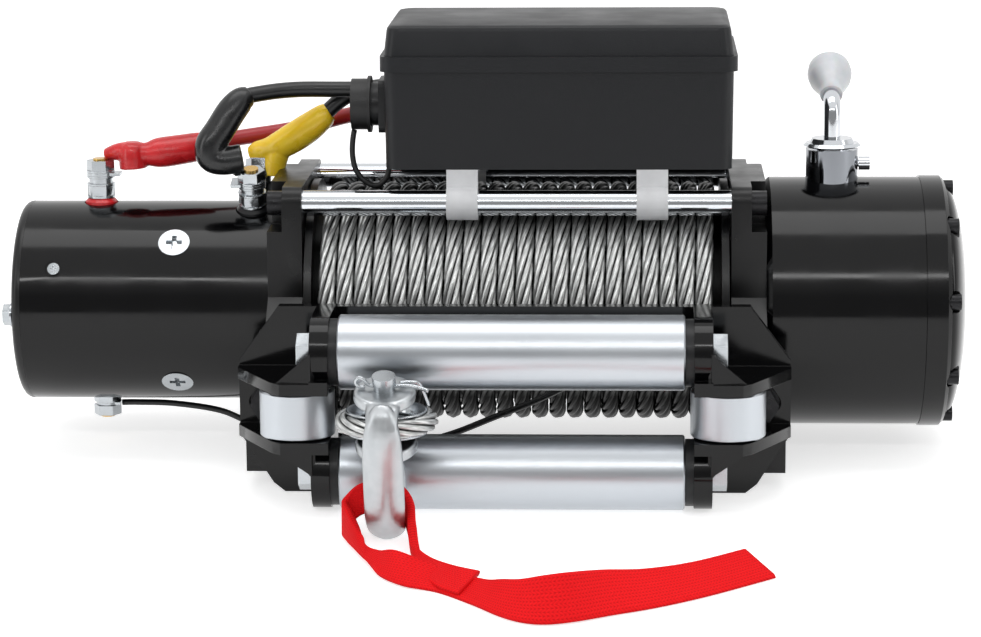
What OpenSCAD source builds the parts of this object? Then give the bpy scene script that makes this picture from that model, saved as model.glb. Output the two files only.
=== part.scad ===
// Electric recovery winch: motor on the left, drum and wire rope between two cast supports,
// planetary gearbox on the right, roller fairlead in front and control box on top.
// X runs along the drum, -Y points to the hook, Z is up. The origin is the centre of the
// foot bolt pattern, on the underside of the feet.

/* [Mounting feet] */
// Height of the drum axis above the underside of the feet
axis_h = 75; // [72:1:90]
// Distance between the foot bolts along the drum
foot_bolt_x = 254; // [250:1:258]
// Distance between the foot bolts across the drum
foot_bolt_y = 114.3; // [110:0.1:118]
// Diameter of the foot bolt holes
foot_bolt_d = 11; // [9:0.5:12]
// Thickness of the foot under the bolt head
foot_t = 12; // [10:1:14]
// Reach of the foot behind the drum axis
foot_back = 80; // [76:1:90]

/* [Drum supports] */
// Clear distance between the two supports
support_gap = 226; // [222:1:230]
// Thickness of a support
support_t = 18.5; // [17:0.5:20]
// Depth of a support, front to back
support_w = 114; // [110:1:118]
// Height of a support above the drum axis
support_top = 70; // [69:1:74]
// Radius of the rounded top edges
support_round = 8; // [6:1:18]

/* [Drum and rope] */
// Diameter of the drum barrel
barrel_d = 64; // [60:1:68]
// Diameter of the drum flanges
flange_d = 132; // [128:1:134]
// Thickness of a drum flange
flange_t = 4; // [3:0.5:6]
// Diameter of the wire rope
rope_d = 9.2; // [8:0.1:9.4]
// Number of turns in the outer layer
rope_turns = 21.75; // [18.75:1:21.75]
// Radius of the outer layer, to the middle of the rope
rope_layer_r = 59.9; // [58:0.1:60]

/* [Tie rods] */
// Diameter of a tie rod
rod_d = 13.6; // [12:0.1:15]
// Distance of a tie rod from the drum axis, to the front or the back
rod_y = 48; // [46:1:48]
// Height of the tie rods above the drum axis
rod_z = 61; // [59:0.5:61]
// Head diameter of a tie rod screw
rod_head_d = 13; // [11:0.5:13]
// Head height of a tie rod screw
rod_head_h = 8; // [6:0.5:9]
// Thread diameter of a tie rod screw
rod_thread_d = 8; // [6:1:8]

/* [Motor] */
// Outer diameter of the motor
motor_d = 108; // [104:1:112]
// Length of the motor tube
motor_len = 133.5; // [130:0.5:150]
// Wall of the motor tube
motor_wall = 4; // [3:0.5:5]
// Thickness of the motor end cap
end_cap_t = 5; // [4.5:0.5:9]
// Head diameter of the pole screws
pole_screw_d = 17; // [14:0.5:18]
// Diameter of the armature
armature_d = 62; // [56:1:64]
// Distance of the armature core from the seat of the motor
core_x = 21.5; // [19:0.5:24]
// Diameter of the motor shaft and the drive shaft
shaft_d = 12; // [10:0.5:13]

/* [Terminals] */
// Diameter of a terminal stud
stud_d = 7.8; // [6:0.1:8]
// Nut size across the flats
stud_nut_af = 13; // [12:0.5:14]
// Height of a stud above the motor
stud_h = 24; // [24:0.5:28]
// Distance of the red terminal from the seat of the motor
stud_far_x = 96.5; // [90:0.5:110]
// Distance of the black terminals from the seat of the motor
stud_near_x = 12; // [10:0.5:16]
// Tilt of the black terminals from vertical
stud_tilt = 15; // [13:1:20]

/* [Gearbox] */
// Diameter of the gearbox
gear_d = 134; // [128:1:136]
// Length of the gearbox housing
gear_len = 83.5; // [80:0.5:95]
// Thickness of the cover's rim
cover_t = 13; // [10:0.5:14]
// Rise of the cover's domed end
dome_h = 12; // [9:0.5:16]
// Number of cover screws
cover_screws_n = 9; // [6:1:12]
// Head diameter of a cover screw
cover_screw_d = 8.5; // [7:0.5:9]

/* [Clutch] */
// Distance of the clutch from the seat of the gearbox
clutch_x = 36.5; // [30:0.5:45]
// Diameter of the clutch boss
clutch_d = 28; // [24:1:30]
// Height of the clutch boss above the gearbox
clutch_h = 16; // [14:1:22]
// Diameter of the clutch lever's stem
stem_d = 9; // [8:0.5:10]
// Height of the stem above its washers
stem_h = 12; // [10:1:20]
// Largest diameter of the knob
knob_d = 24; // [20:1:27]

/* [Fairlead] */
// Full width of the fairlead frame
fair_w = 286; // [280:1:290]
// Thickness of the fairlead's back plate
fair_t = 7; // [6:0.5:8]
// Diameter of the rollers
roller_d = 38.5; // [36:0.5:39]
// Length of the long rollers
roller_len = 176; // [170:1:178]
// Distance of the roller axes in front of the drum axis
roller_y = 122; // [121:1:126]
// Height of the upper roller's axis above the drum axis
roller_up_z = -3.9; // [-5:0.1:-2]
// Height of the lower roller's axis above the drum axis
roller_low_z = -66.4; // [-68:0.1:-65]
// Distance of the short rollers' axes from the middle
roller_side_x = 110; // [108:0.5:112]
// Diameter of the roller bolts
roller_bolt_d = 12; // [10:0.5:13]
// Thickness of the frame's ears
ear_t = 9.5; // [8:0.5:10]
// Thickness of the frame's shelves
shelf_t = 6; // [5:0.5:6.5]

/* [Control box] */
// Left end of the box
box_left = -71.5; // [-76:0.5:-64]
// Right end of the box
box_right = 116; // [106:1:118]
// Depth of the box, front to back
box_w = 104; // [96:1:108]
// Height of the box's underside above the drum axis
box_z = 79; // [78:0.5:84]
// Height of the base up to the lid
box_base_h = 51.5; // [46:0.5:56]
// Height of the lid
box_lid_h = 24; // [20:0.5:30]
// Wall of the box
box_wall = 2.5; // [2:0.5:3]
// Width of a strap clamp
clamp_w = 16.5; // [12:0.5:20]

/* [Hook] */
// Place of the rope's eye along the drum
hook_x = -61; // [-64:1:-58]
// Diameter of the clevis pin
pin_d = 10.8; // [9:0.1:11.5]
// Diameter of the clevis ears
clevis_d = 31; // [29:1:33]
// Thickness of a clevis ear
clevis_t = 6.5; // [5.5:0.5:7]
// Gap between the clevis ears
clevis_gap = 22; // [21:0.5:23]
// Forward lean of the clevis pin
hook_lean = 17; // [14:1:19]
// Width of the hook
hook_w = 22; // [18:1:24]
// Width of the strap's webbing
strap_w = 25; // [22:1:26]
// Thickness of the webbing
web_t = 2.4; // [1.6:0.1:2.6]

/* [Hidden] */
$fn = 64;

// shared clearances and overruns
cut = 1;            // overrun of every cut
fit = 0.05;         // radial clearance of a running fit
seat = 0.3;         // gap between pieces that pass each other
face = 0.15;        // flat gap between fastened pieces
round_fn = 32;      // facets of a rounded edge
slice = 0.01;       // thickness of a hull's end slice

// places along the drum
support_in = support_gap / 2;
seat_x = support_in + support_t;              // where the motor and the gearbox seat

// colours
black_gloss = "#15161a";
black_satin = "#202124";
steel = "#c9ccd0";
zinc = "#b9bec4";
brass = "#c9a55a";
rope_grey = "#8f9296";
red = "#d0232e";

// A child moved from the drum axis frame to the part's own frame
module at_axis() { translate([0, 0, axis_h]) children(); }

// A child whose +Z axis is turned to +X
module along_x() { rotate([0, 90, 0]) children(); }

// A child whose +Z axis is turned to -Y
module along_front() { rotate([90, 0, 0]) children(); }

// A child drawn at both ends of the drum
module both_ends() { for (side = [0, 1]) mirror([side, 0, 0]) children(); }

// Hexagonal prism by its size across the flats
module hex(af, h) { cylinder(d = af / cos(30), h = h, $fn = 6); }

// Ring of rectangular section
module ring(d_out, d_in, h) {
    difference() {
        cylinder(d = d_out, h = h);
        translate([0, 0, -cut]) cylinder(d = d_in, h = h + 2 * cut);
    }
}

// Box with rounded upright edges, standing on z = 0 and centred on the axis
module round_box(x, y, h, r) {
    linear_extrude(height = h) offset(r = r, $fn = round_fn)
        square([x - 2 * r, y - 2 * r], center = true);
}

// Closed skin over rings of equal length, each turning left about the way ahead, with flat ends
module loft(rings) {
    n = len(rings[0]);
    m = len(rings);
    side = [for (i = [0 : m - 2]) for (j = [0 : n - 1])
        let (a = i * n + j, b = i * n + (j + 1) % n)
        each [[a, b + n, b], [a, a + n, b + n]]];
    first = [for (j = [1 : n - 2]) [0, j, j + 1]];
    last = [for (j = [1 : n - 2]) [(m - 1) * n, (m - 1) * n + j + 1, (m - 1) * n + j]];
    polyhedron(points = [for (r = rings) each r], faces = [each side, each first, each last]);
}

function unit(v) = v / norm(v);

// Points of a smooth curve through hand-chosen points, with steps between each pair
function curve_at(a, b, c, d, t) =
    0.5 * (2 * b + (c - a) * t + (2 * a - 5 * b + 4 * c - d) * t * t
        + (3 * b - a - 3 * c + d) * t * t * t);
function curve(p, steps) = let (n = len(p)) [
    for (i = [0 : n - 2]) for (k = [0 : steps - 1])
        curve_at(p[max(i - 1, 0)], p[i], p[i + 1], p[min(i + 2, n - 1)], k / steps),
    p[n - 1]];

// Direction of a path at each point
function heading(p, i) = unit(p[min(i + 1, len(p) - 1)] - p[max(i - 1, 0)]);

// Frames carried along a path without twist
function frames(p, i, side) = i >= len(p) ? [] :
    let (t = heading(p, i), s = unit(side - (side * t) * t))
    [[s, cross(t, s)], each frames(p, i + 1, s)];

// Tube of one radius, or of one radius per point, along a path or a stretch of it
module tube(path, radii, sides, start = [0, 0, 1], from = 0, to = undef) {
    f = frames(path, 0, start);
    loft([for (i = [from : is_undef(to) ? len(path) - 1 : to]) let (r = is_list(radii) ? radii[i] : radii)
        [for (j = [0 : sides - 1]) let (a = 360 * (j + 0.5) / sides)
            path[i] + r * (cos(a) * f[i][0] + sin(a) * f[i][1])]]);
}

// Mounting feet and drum supports
foot_out = 28;                       // width of a foot, from the support's inner face
pad_y = 88;                          // front face that carries the fairlead
pad_top = -14;                       // top of the front pad
pad_slope = 26;                      // height of the slope above the pad
foot_edge = 5;                       // rounding of the casting's edges
pocket_w = 24;                       // pocket for the foot nut
pocket_h = 22;
notch_y = 26;                        // notch for a tie rod screw's head
notch_z = 23;
bush_t = 4;                          // wall of a drum bush
journal_len = 10;                    // length of the drum's journal in a support
shaft_gap = 4;                       // clearance of the drive shaft in the supports
arch_w = 66;                         // arch between the feet
arch_h = 7;

bolt_x = foot_bolt_x / 2;
bolt_y = foot_bolt_y / 2;
barrel_r = barrel_d / 2;
bush_r = barrel_r + bush_t;
slot_z = -36;                        // height of the fairlead's slots
slot_d = 10.8;                       // width of a fairlead slot
slot_len = 22;
fair_bolt_d = 10;

module support_outline() {
    w = support_w / 2;
    r = support_round;
    polygon([[-pad_y, -axis_h], [foot_back, -axis_h], [foot_back, -axis_h + foot_t],
        [foot_back - 2 * foot_edge, -axis_h + foot_t + foot_edge],
        [w, -axis_h + foot_t + pocket_h], [w, support_top - r],
        for (a = [0 : 15 : 90]) [w - r + r * cos(a), support_top - r + r * sin(a)],
        for (a = [90 : 15 : 180]) [-w + r + r * cos(a), support_top - r + r * sin(a)],
        [-w, pad_top + pad_slope], [-pad_y, pad_top]]);
}

module support(relief_r) {
    difference() {
        union() {
            translate([support_in, 0, 0]) rotate([90, 0, 90])
                linear_extrude(height = support_t) support_outline();
            // foot and front pad, wider than the web
            translate([support_in, -pad_y, -axis_h])
                cube([foot_out, pad_y + foot_back, foot_t]);
            translate([support_in, -pad_y, -axis_h])
                cube([foot_out, pad_y - bolt_y + pocket_w / 2 - foot_edge, axis_h + pad_top]);
        }
        // journal seat, stepped down to the shaft's passage
        translate([support_in - cut, 0, 0]) along_x()
            cylinder(r = bush_r, h = journal_len + cut + seat);
        translate([support_in - cut, 0, 0]) along_x()
            cylinder(d = shaft_d + 2 * shaft_gap, h = support_t + 2 * cut);
        for (front = [-1, 1]) {
            // foot bolt and its nut pocket
            translate([bolt_x, front * bolt_y, -axis_h - cut])
                cylinder(d = foot_bolt_d, h = foot_t + 2 * cut);
            translate([bolt_x - pocket_w / 2, front * bolt_y - pocket_w / 2, -axis_h + foot_t])
                cube([foot_out, pocket_w, pocket_h]);
            // tie rod seat, screw hole and head notch
            translate([support_in - cut, front * rod_y, rod_z]) along_x()
                cylinder(d = rod_thread_d, h = support_t + 2 * cut);
            notch_at(front);
        }
        // arch between the feet
        translate([support_in - cut, -arch_w / 2, -axis_h - cut])
            cube([foot_out + 2 * cut, arch_w, arch_h + cut]);
        // relief round the motor or the gearbox
        translate([seat_x, 0, 0]) along_x() cylinder(r = relief_r + face, h = foot_out);
        // hole for the fairlead bolt
        translate([bolt_x, -pad_y - cut, slot_z]) mirror([0, 1, 0]) along_front()
            cylinder(d = fair_bolt_d, h = 2 * fair_bolt_d + cut);
    }
}

// Notch that clears the head of a tie rod screw
module notch_at(front) {
    y0 = front > 0 ? support_w / 2 - notch_y : -support_w / 2 - cut;
    translate([seat_x - rod_head_h, y0, support_top - notch_z])
        cube([rod_head_h + cut, notch_y + cut, notch_z + cut]);
}

module motor_support() {
    color(black_satin) at_axis() mirror([1, 0, 0]) support(motor_r);
}

module gear_support() {
    color(black_satin) at_axis() support(gear_r);
}

module tie_rods() {
    color(steel) at_axis() for (front = [-1, 1])
        translate([-support_in, front * rod_y, rod_z]) along_x() difference() {
            cylinder(d = rod_d, h = support_gap);
            for (end = [0, 1]) translate([0, 0, end * support_gap]) mirror([0, 0, end])
                translate([0, 0, -cut]) cylinder(d = rod_thread_d, h = rod_head_h * 2 + cut);
        }
}

module tie_rod_screws() {
    key = rod_thread_d * 0.75;
    color(black_gloss) at_axis() both_ends() for (front = [-1, 1])
        translate([seat_x - rod_head_h, front * rod_y, rod_z]) along_x() difference() {
            union() {
                cylinder(d = rod_head_d, h = rod_head_h);
                translate([0, 0, -support_t]) cylinder(d = rod_thread_d - 2 * fit, h = support_t);
            }
            translate([0, 0, rod_head_h / 2]) hex(key, rod_head_h);
        }
}

// Drum and rope
flange_gap = 1;                       // gap between a drum flange and its support
flange_x = support_in - flange_gap;
barrel_bore = 27;                     // radius of the hollow barrel
core_gap = 1.3;                       // gap between the core and the layer over it
core_r = rope_layer_r - rope_d / 2 - core_gap;
rope_span = 2 * (flange_x - flange_t) - rope_d - 3 * seat;
rope_pitch = rope_span / rope_turns;
rings_per_turn = 24;
rope_start = 0.25;                    // part of a turn before the layer first comes to the front
lead_gap = 0.6;                       // gap between the layer and the last turn
lead_r = rope_layer_r + rope_d + lead_gap;  // radius of the last turn, which lies over the layer

module drum() {
    color(black_satin) at_axis() difference() {
        union() {
            translate([-support_in - journal_len, 0, 0]) along_x()
                cylinder(r = barrel_r, h = support_gap + 2 * journal_len);
            both_ends() translate([flange_x - flange_t, 0, 0]) along_x()
                cylinder(d = flange_d, h = flange_t, $fn = 96);
        }
        translate([-seat_x, 0, 0]) along_x() cylinder(r = barrel_bore, h = 2 * seat_x);
    }
}

module drum_bushes() {
    color(steel) at_axis() both_ends() translate([support_in, 0, 0]) along_x()
        ring(2 * bush_r, 2 * (barrel_r + fit), journal_len);
}

module rope_core() {
    color(rope_grey) at_axis() translate([-flange_x + flange_t, 0, 0]) along_x()
        ring(2 * core_r, barrel_d, 2 * (flange_x - flange_t));
}

// A point on the outer layer, by the number of turns from the left flange
function layer_point(turn) = [
    -rope_span / 2 + rope_pitch * turn,
    -rope_layer_r * cos(360 * (turn - rope_start)), rope_layer_r * sin(360 * (turn - rope_start))];
function layer_ring(turn) = let (c = layer_point(turn), out = [0, c.y, c.z] / rope_layer_r)
    [for (j = [0 : 5]) c + rope_d / 2 * (cos(60 * j) * out + sin(60 * j) * [1, 0, 0])];
function layer_end(turn, way) = let (t = way * unit(layer_point(turn + 0.01) - layer_point(turn)))
    [for (p = layer_ring(turn)) p + rope_d * t];
winding_rings = [layer_end(0, -1),
    for (i = [0 : rope_turns * rings_per_turn]) layer_ring(i / rings_per_turn),
    layer_end(rope_turns, 1)];
winding_gap = min([for (j = [0 : 5]) for (k = [0 : 5])
    norm(winding_rings[1 + rings_per_turn][j] - winding_rings[1][k])]);
echo(winding_least_gap = winding_gap);

module rope_winding() {
    color(rope_grey) at_axis() loft(winding_rings);
}

// The rope's free end: a quarter turn over the layer, then forward over the lower roller
lead_rise = 13.7;                     // rise of the free rope towards the hook
eye_r = 21.5;                         // radius of the eye, to the middle of the rope
eye_y = -163.6;
eye_z = -30;
strand = 5.1;                         // half the distance between the eye's two strands
lead_arc = [for (a = [-75 : 12.6 : lead_rise]) [hook_x - strand, -lead_r * sin(a), -lead_r * cos(a)]];
lead_run = [[-66, -60, -57], [-66, -84, -51], [-66, -104, -45.5], [-66, -120, -39.5],
    [-67, -135, -33.5]];
eye_arc = [for (a = [-160 : 20 : 160])
    [hook_x + eye_r * sin(a), eye_y - eye_r * cos(a), eye_z]];
lead_tail = [[-55, -135, -33.5], [-56, -120, -39.5], [-56, -104, -45.5], [-56, -90, -49.4]];
lead_path = [each lead_arc, each lead_run, each eye_arc, each lead_tail];

module rope_lead() {
    color(rope_grey) at_axis() tube(lead_path, rope_d / 2, 8, [1, 0, 0]);
}

ferrule_len = 22;
ferrule_w = 25;
ferrule_h = 15;
ferrule_y = -93;
ferrule_z = -48.4;
ferrule_slope = 15.5;

module rope_ferrule() {
    color(zinc) at_axis() difference() {
        translate([hook_x, ferrule_y, ferrule_z]) rotate([90 - ferrule_slope, 0, 0])
            translate([0, 0, -ferrule_len / 2]) linear_extrude(height = ferrule_len)
            offset(r = ferrule_h / 2 - fit, $fn = round_fn)
            square([ferrule_w - ferrule_h, fit], center = true);
        tube(lead_path, rope_d / 2 + face, 8, [1, 0, 0]);
    }
}

// Thimble, clevis and hook
thimble_t = 2.2;
thimble_w = 11;

module thimble() {
    color(zinc) at_axis() translate([hook_x, eye_y, eye_z - thimble_w / 2])
        rotate_extrude() translate([eye_r - rope_d / 2 - thimble_t - seat, 0])
        square([thimble_t, thimble_w]);
}

pin_y = -171;
pin_z = -28;
pin_free = 7.5;                       // length of the pin above the upper ear
pin_up = clevis_gap / 2 + clevis_t + pin_free;
pin_head_t = 4;
cotter_d = 2;
bowl_v = 6.5;                              // centre of the bowl, forward of the pin
bowl_w = -37;                              // and below the middle of the clevis
room_r = 20.6;                             // room for the rope's eye round the pin
bowl_r = 18.5;                             // radius of the bowl, to the middle of the hook

// A child in the clevis frame: +Z up the pin, -Y forward
module at_clevis() {
    at_axis() translate([hook_x, pin_y, pin_z]) rotate([hook_lean, 0, 0]) children();
}

// The hook's centre line, half width and half depth: down the shank, round the bowl and up the tip
shank_v = bowl_v + bowl_r;
hook_line = [[shank_v - 7, 18.5, 0.42, 2.6], [shank_v - 3, 13, 0.7, 4.4], [shank_v - 0.5, 4, 0.88, 5.4],
    [shank_v, -12, 1, 6], [shank_v, -26, 1, 6.2],
    for (a = [0 : 15 : 180]) [bowl_v + bowl_r * cos(a), bowl_w - bowl_r * sin(a), 1 - a / 900,
        6.3 - a / 150],
    [bowl_v - bowl_r - 0.5, bowl_w + 5, 0.7, 4.4], [bowl_v - bowl_r - 1.5, bowl_w + 9, 0.5, 3]];
hook_corner_shares = [[1, 0.45], [0.62, 1], [-0.62, 1], [-1, 0.45], [-1, -0.45], [-0.62, -1],
    [0.62, -1], [1, -0.45]];
hook_path = [for (p = hook_line) [0, -p[0], p[1]]];
hook_rings = [for (i = [0 : len(hook_line) - 1])
    let (t = heading(hook_path, i), s = [1, 0, 0], n = cross(t, s))
    [for (q = hook_corner_shares)
        hook_path[i] + q.x * hook_line[i][2] * hook_w / 2 * s + q.y * hook_line[i][3] * n]];

module hook() {
    color(zinc) at_clevis() difference() {
        union() {
            loft(hook_rings);
            for (up = [0, 1]) mirror([0, 0, up]) translate([0, 0, clevis_gap / 2])
                cylinder(d = clevis_d, h = clevis_t);
            // bridge from the ears to the shank
            translate([-hook_w * 0.36, -shank_v - cut, -clevis_gap / 2 - clevis_t])
                cube([hook_w * 0.72, shank_v - pin_d, clevis_gap + 2 * clevis_t]);
            latch_cheeks();
        }
        translate([0, 0, -pin_up]) cylinder(d = pin_d + 4 * fit, h = 2 * pin_up);
        // room for the rope's eye between the ears
        translate([0, 0, -clevis_gap / 2]) cylinder(r = room_r, h = clevis_gap);
    }
}

// Two cheeks on the shank with the pin on which the latch swings
module latch_cheeks() {
    out = latch_w / 2 + seat + cheek_t / 2;
    translate([0, -latch_v, latch_z]) {
        for (side = [-1, 1]) translate([side * out, 0, 0]) along_x()
            linear_extrude(height = cheek_t, center = true) {
            circle(r = cheek_r);
            translate([-cheek_r, latch_v - shank_v]) square([2 * cheek_r, shank_v - latch_v]);
        }
        translate([-out, 0, 0]) along_x() cylinder(d = latch_t - 2 * fit, h = 2 * out);
    }
}

module clevis_pin() {
    color(steel) at_clevis() difference() {
        union() {
            translate([0, 0, -clevis_gap / 2 - clevis_t - pin_head_t])
                cylinder(d = pin_d + pin_head_t, h = pin_head_t);
            translate([0, 0, -clevis_gap / 2 - clevis_t])
                cylinder(d = pin_d, h = pin_up + clevis_gap / 2 + clevis_t);
            translate([0, 0, pin_up - pin_head_t]) cylinder(d = pin_d + pin_head_t / 4, h = pin_head_t);
        }
        translate([-pin_d, 0, clevis_gap / 2 + clevis_t + cotter_d]) along_x()
            cylinder(d = cotter_d + 4 * fit, h = 2 * pin_d);
    }
}

cotter_paths = [
    [[-9.5, 0, -0.6], [-12.5, 0, -0.4], [-14, 0, 2], [-12.5, 0, 4.4], [-10, 0, 3.4], [-8, 0, 0.8],
        [-5, 0, 0], [6, 0, 0], [12, -1, 0.6], [17, -2, 0.2], [22, -4, -0.6]],
    [[7.5, 2.6, 0], [12, 3.4, 0.2], [16.7, 4, -1], [19, 4, -6], [21.5, 3, -13]]];

module cotter_pin() {
    color(steel) at_clevis() translate([0, 0, clevis_gap / 2 + clevis_t + cotter_d])
        for (p = cotter_paths) tube(p, cotter_d / 2, 6);
}

latch_t = 1.6;
latch_w = 14;
latch_v = 14;                            // the latch's pivot, forward of the pin
latch_z = -29;
latch_len = 21.6;
cheek_t = 1.6;
cheek_r = 3;

module hook_latch() {
    color("#5d6064") at_clevis() translate([0, -latch_v, latch_z]) difference() {
        union() {
            rotate([0, 90, 0]) translate([0, 0, -latch_w / 2]) cylinder(d = 3 * latch_t, h = latch_w);
            translate([-latch_w / 2, 0, -latch_t / 2]) cube([latch_w, latch_len, latch_t]);
        }
        rotate([0, 90, 0]) translate([0, 0, -latch_w]) cylinder(d = latch_t, h = 2 * latch_w);
    }
}

// The strap's route in plan, round the hook's bowl and out along the ground
ground_z = -85.5;                         // the ground under the fairlead's ears
ground_rise = 0.052;                      // and its rise towards the back feet
function ground(y) = ground_z + ground_rise * (y + roller_y) + face;
strap_left = [[-61, -170], [-74, -170], [-83, -178], [-82, -200], [-74, -225], [-60, -248],
    [-47, -264], [-22, -286], [6, -303], [30, -297], [50, -286], [72, -269], [96, -252],
    [130, -230]];
strap_right = [[-61, -170], [-49, -170], [-42, -179], [-41, -200], [-38, -225], [-30, -250],
    [-14, -276], [6, -297], [28, -291.5], [47, -281], [69.5, -264], [94, -247], [128, -226]];
strap_bowl = [1, 0.8, 0.3, 0.06, 0];      // share of the gathering in the bowl, point by point

strap_gather = 12.7;                      // how far the webbing's lower edge is drawn up in the hook

module strap_band(route) {
    n = len(route);
    loft([for (i = [0 : n - 1])
        let (t = unit(route[min(i + 1, n - 1)] - route[max(i - 1, 0)]),
            s = [t.y, -t.x, 0] * web_t / 2,
            lift = i < len(strap_bowl) ? strap_bowl[i] : 0,
            p = [route[i].x, route[i].y, ground(route[i].y)])
        [p + s + [0, 0, strap_gather * lift], p - s + [0, 0, strap_gather * lift],
            p - s + [0, 0, strap_w], p + s + [0, 0, strap_w]]]);
}

module pull_strap() {
    color(red) at_axis() {
        strap_band(strap_left);
        strap_band(strap_right);
    }
}

// Motor
motor_r = motor_d / 2;
motor_end = seat_x + motor_len;
motor_bore = motor_r - motor_wall;
cap_round = 4;                        // rounding of the end cap
bolt_d = 6;                           // through bolts
bolt_head_af = 10;
bolt_head_h = 5;
bolt_ring = 45;                       // distance of a through bolt from the axis
bolt_washer_t = 1;
end_screw_d = 6.5;                    // small screw near the motor's end
end_screw_h = 1.2;
end_screw_seat_d = 9;                 // spot face round it
end_screw_seat_t = 0.6;
end_screw_in = 18;                    // distance of this screw from the motor's end
end_screw_turn = 62;                  // and its angle from the top, towards the front
screw_cone_h = motor_wall - face;                 // countersink of a pole screw
screw_slot = 2.4;                     // cross recess of a pole screw
comm_d = 40;                          // commutator
comm_len = 24;
comm_gap = 6.5;                       // between the core and the commutator
brush_back = 32.5;                    // middle of the brushes, from the motor's end
brush_x = motor_len - brush_back;
armature_len = brush_x - comm_len / 2 - comm_gap - core_x;
pole_screw_x = core_x + armature_len / 2;
shoe_t = 8;                           // pole shoe and its coil
shoe_short = 2;                       // how far the core passes a shoe's end
shoe_len = armature_len - 2 * shoe_short;
shoe_angle = 58;
coil_t = 6;
air_gap = 1.2;
bearing_d = 26;
bearing_len = 7;
shaft_clear = 0.3;

// A child drawn on the motor's left half, with +X running from its seat to its end
module on_motor() { at_axis() mirror([1, 0, 0]) translate([seat_x, 0, 0]) children(); }

// A child moved to each pole screw, its +Z axis pointing out of the motor
module each_pole() {
    for (i = [0 : 3]) rotate([45 + 90 * i, 0, 0]) translate([pole_screw_x, 0, 0]) children();
}

// A child moved to the seat of the small screw near the motor's end
module at_end_screw() {
    rotate([end_screw_turn, 0, 0])
        translate([motor_len - end_screw_in, 0, motor_r - end_screw_seat_t]) children();
}

// A child moved to each terminal stud, its +Z axis pointing out of the motor
module red_terminal() { translate([stud_far_x, 0, 0]) children(); }
module black_terminal(side) {
    rotate([side * stud_tilt, 0, 0]) translate([stud_near_x, 0, 0]) children();
}
module black_terminals() { for (side = [-1, 1]) black_terminal(side) children(); }
module earth_terminal() { translate([stud_far_x, 0, 0]) rotate([180, 0, 0]) children(); }

bush_wall = 2.5;                      // wall of an insulating bush
bush_hole = stud_d + 2 * bush_wall;
bush_flange = 17.5;
bush_flat = 2.4;                      // depth of the flat below the motor's skin
bush_flange_t = 5;
bush_chamfer = 1;

module motor_housing() {
    color(black_gloss) on_motor() difference() {
        along_x() ring(motor_d, 2 * motor_bore, motor_len);
        each_pole() translate([0, 0, motor_bore - cut]) {
            cylinder(d = pole_screw_d / 2, h = motor_wall + 2 * cut);
            translate([0, 0, motor_wall + cut - screw_cone_h])
                cylinder(d1 = pole_screw_d / 2, d2 = pole_screw_d + 2 * fit, h = screw_cone_h);
        }
        red_terminal() terminal_cuts(bush_hole);
        black_terminals() terminal_cuts(bush_hole);
        earth_terminal() terminal_cuts(stud_d);
        at_end_screw() cylinder(d = end_screw_seat_d, h = 2 * cut);
    }
}

// Hole through the motor's wall and the flat around it
module terminal_cuts(d) {
    translate([0, 0, motor_bore - cut - shoe_t]) cylinder(d = d + 2 * fit, h = motor_r);
    translate([0, 0, motor_r - bush_flat]) cylinder(d = bush_flange + bush_chamfer, h = motor_r);
}

module motor_end_cap() {
    color(black_satin) on_motor() translate([motor_len, 0, 0]) difference() {
        union() {
            along_x() rotate_extrude() polygon([[0, 0], [motor_r, 0],
                for (a = [0 : 15 : 90]) [motor_r - cap_round + cap_round * cos(a),
                    end_cap_t - cap_round + cap_round * sin(a)],
                [0, end_cap_t]]);
            translate([-bearing_len, 0, 0]) along_x()
                cylinder(d = bearing_d + 2 * motor_wall, h = bearing_len);
        }
        translate([-bearing_len - cut, 0, 0]) along_x()
            cylinder(d = shaft_d + 2 * fit, h = bearing_len + cut + face);
        for (front = [-1, 1]) translate([-cut, front * bolt_ring, 0]) along_x()
            cylinder(d = bolt_d + 2 * fit, h = end_cap_t + 2 * cut);
    }
}

module motor_through_bolts() {
    color(steel) on_motor() for (front = [-1, 1]) translate([0, front * bolt_ring, 0]) along_x() {
        cylinder(d = bolt_d, h = motor_len + end_cap_t);
        translate([0, 0, motor_len + end_cap_t]) hex(bolt_head_af, bolt_head_h);
        translate([0, 0, motor_len + end_cap_t]) cylinder(d = bolt_head_af * 1.3, h = bolt_washer_t);
    }
}

module pole_screws() {
    color(steel) on_motor() {
        each_pole() translate([0, 0, motor_r - screw_cone_h]) difference() {
            union() {
                cylinder(d1 = pole_screw_d / 2, d2 = pole_screw_d, h = screw_cone_h);
                translate([0, 0, -shoe_t]) cylinder(d = pole_screw_d / 2 - 2 * fit, h = shoe_t + slice);
            }
            for (turn = [0, 90]) rotate([0, 0, turn])
                translate([-pole_screw_d / 4, -screw_slot / 2, screw_cone_h / 3])
                cube([pole_screw_d / 2, screw_slot, screw_cone_h]);
        }
        at_end_screw() difference() {
            cylinder(d = end_screw_d, h = end_screw_h);
            for (turn = [0, 90]) rotate([0, 0, turn])
                translate([-end_screw_d / 4, -end_screw_d / 12, end_screw_h / 2])
                cube([end_screw_d / 2, end_screw_d / 6, end_screw_h]);
        }
    }
}

module shoe_sector(r_out, r_in, angle, len) {
    along_x() rotate([0, 0, 45 + 90 - angle / 2]) rotate_extrude(angle = angle)
        translate([r_in, 0]) square([r_out - r_in, len]);
}

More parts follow.
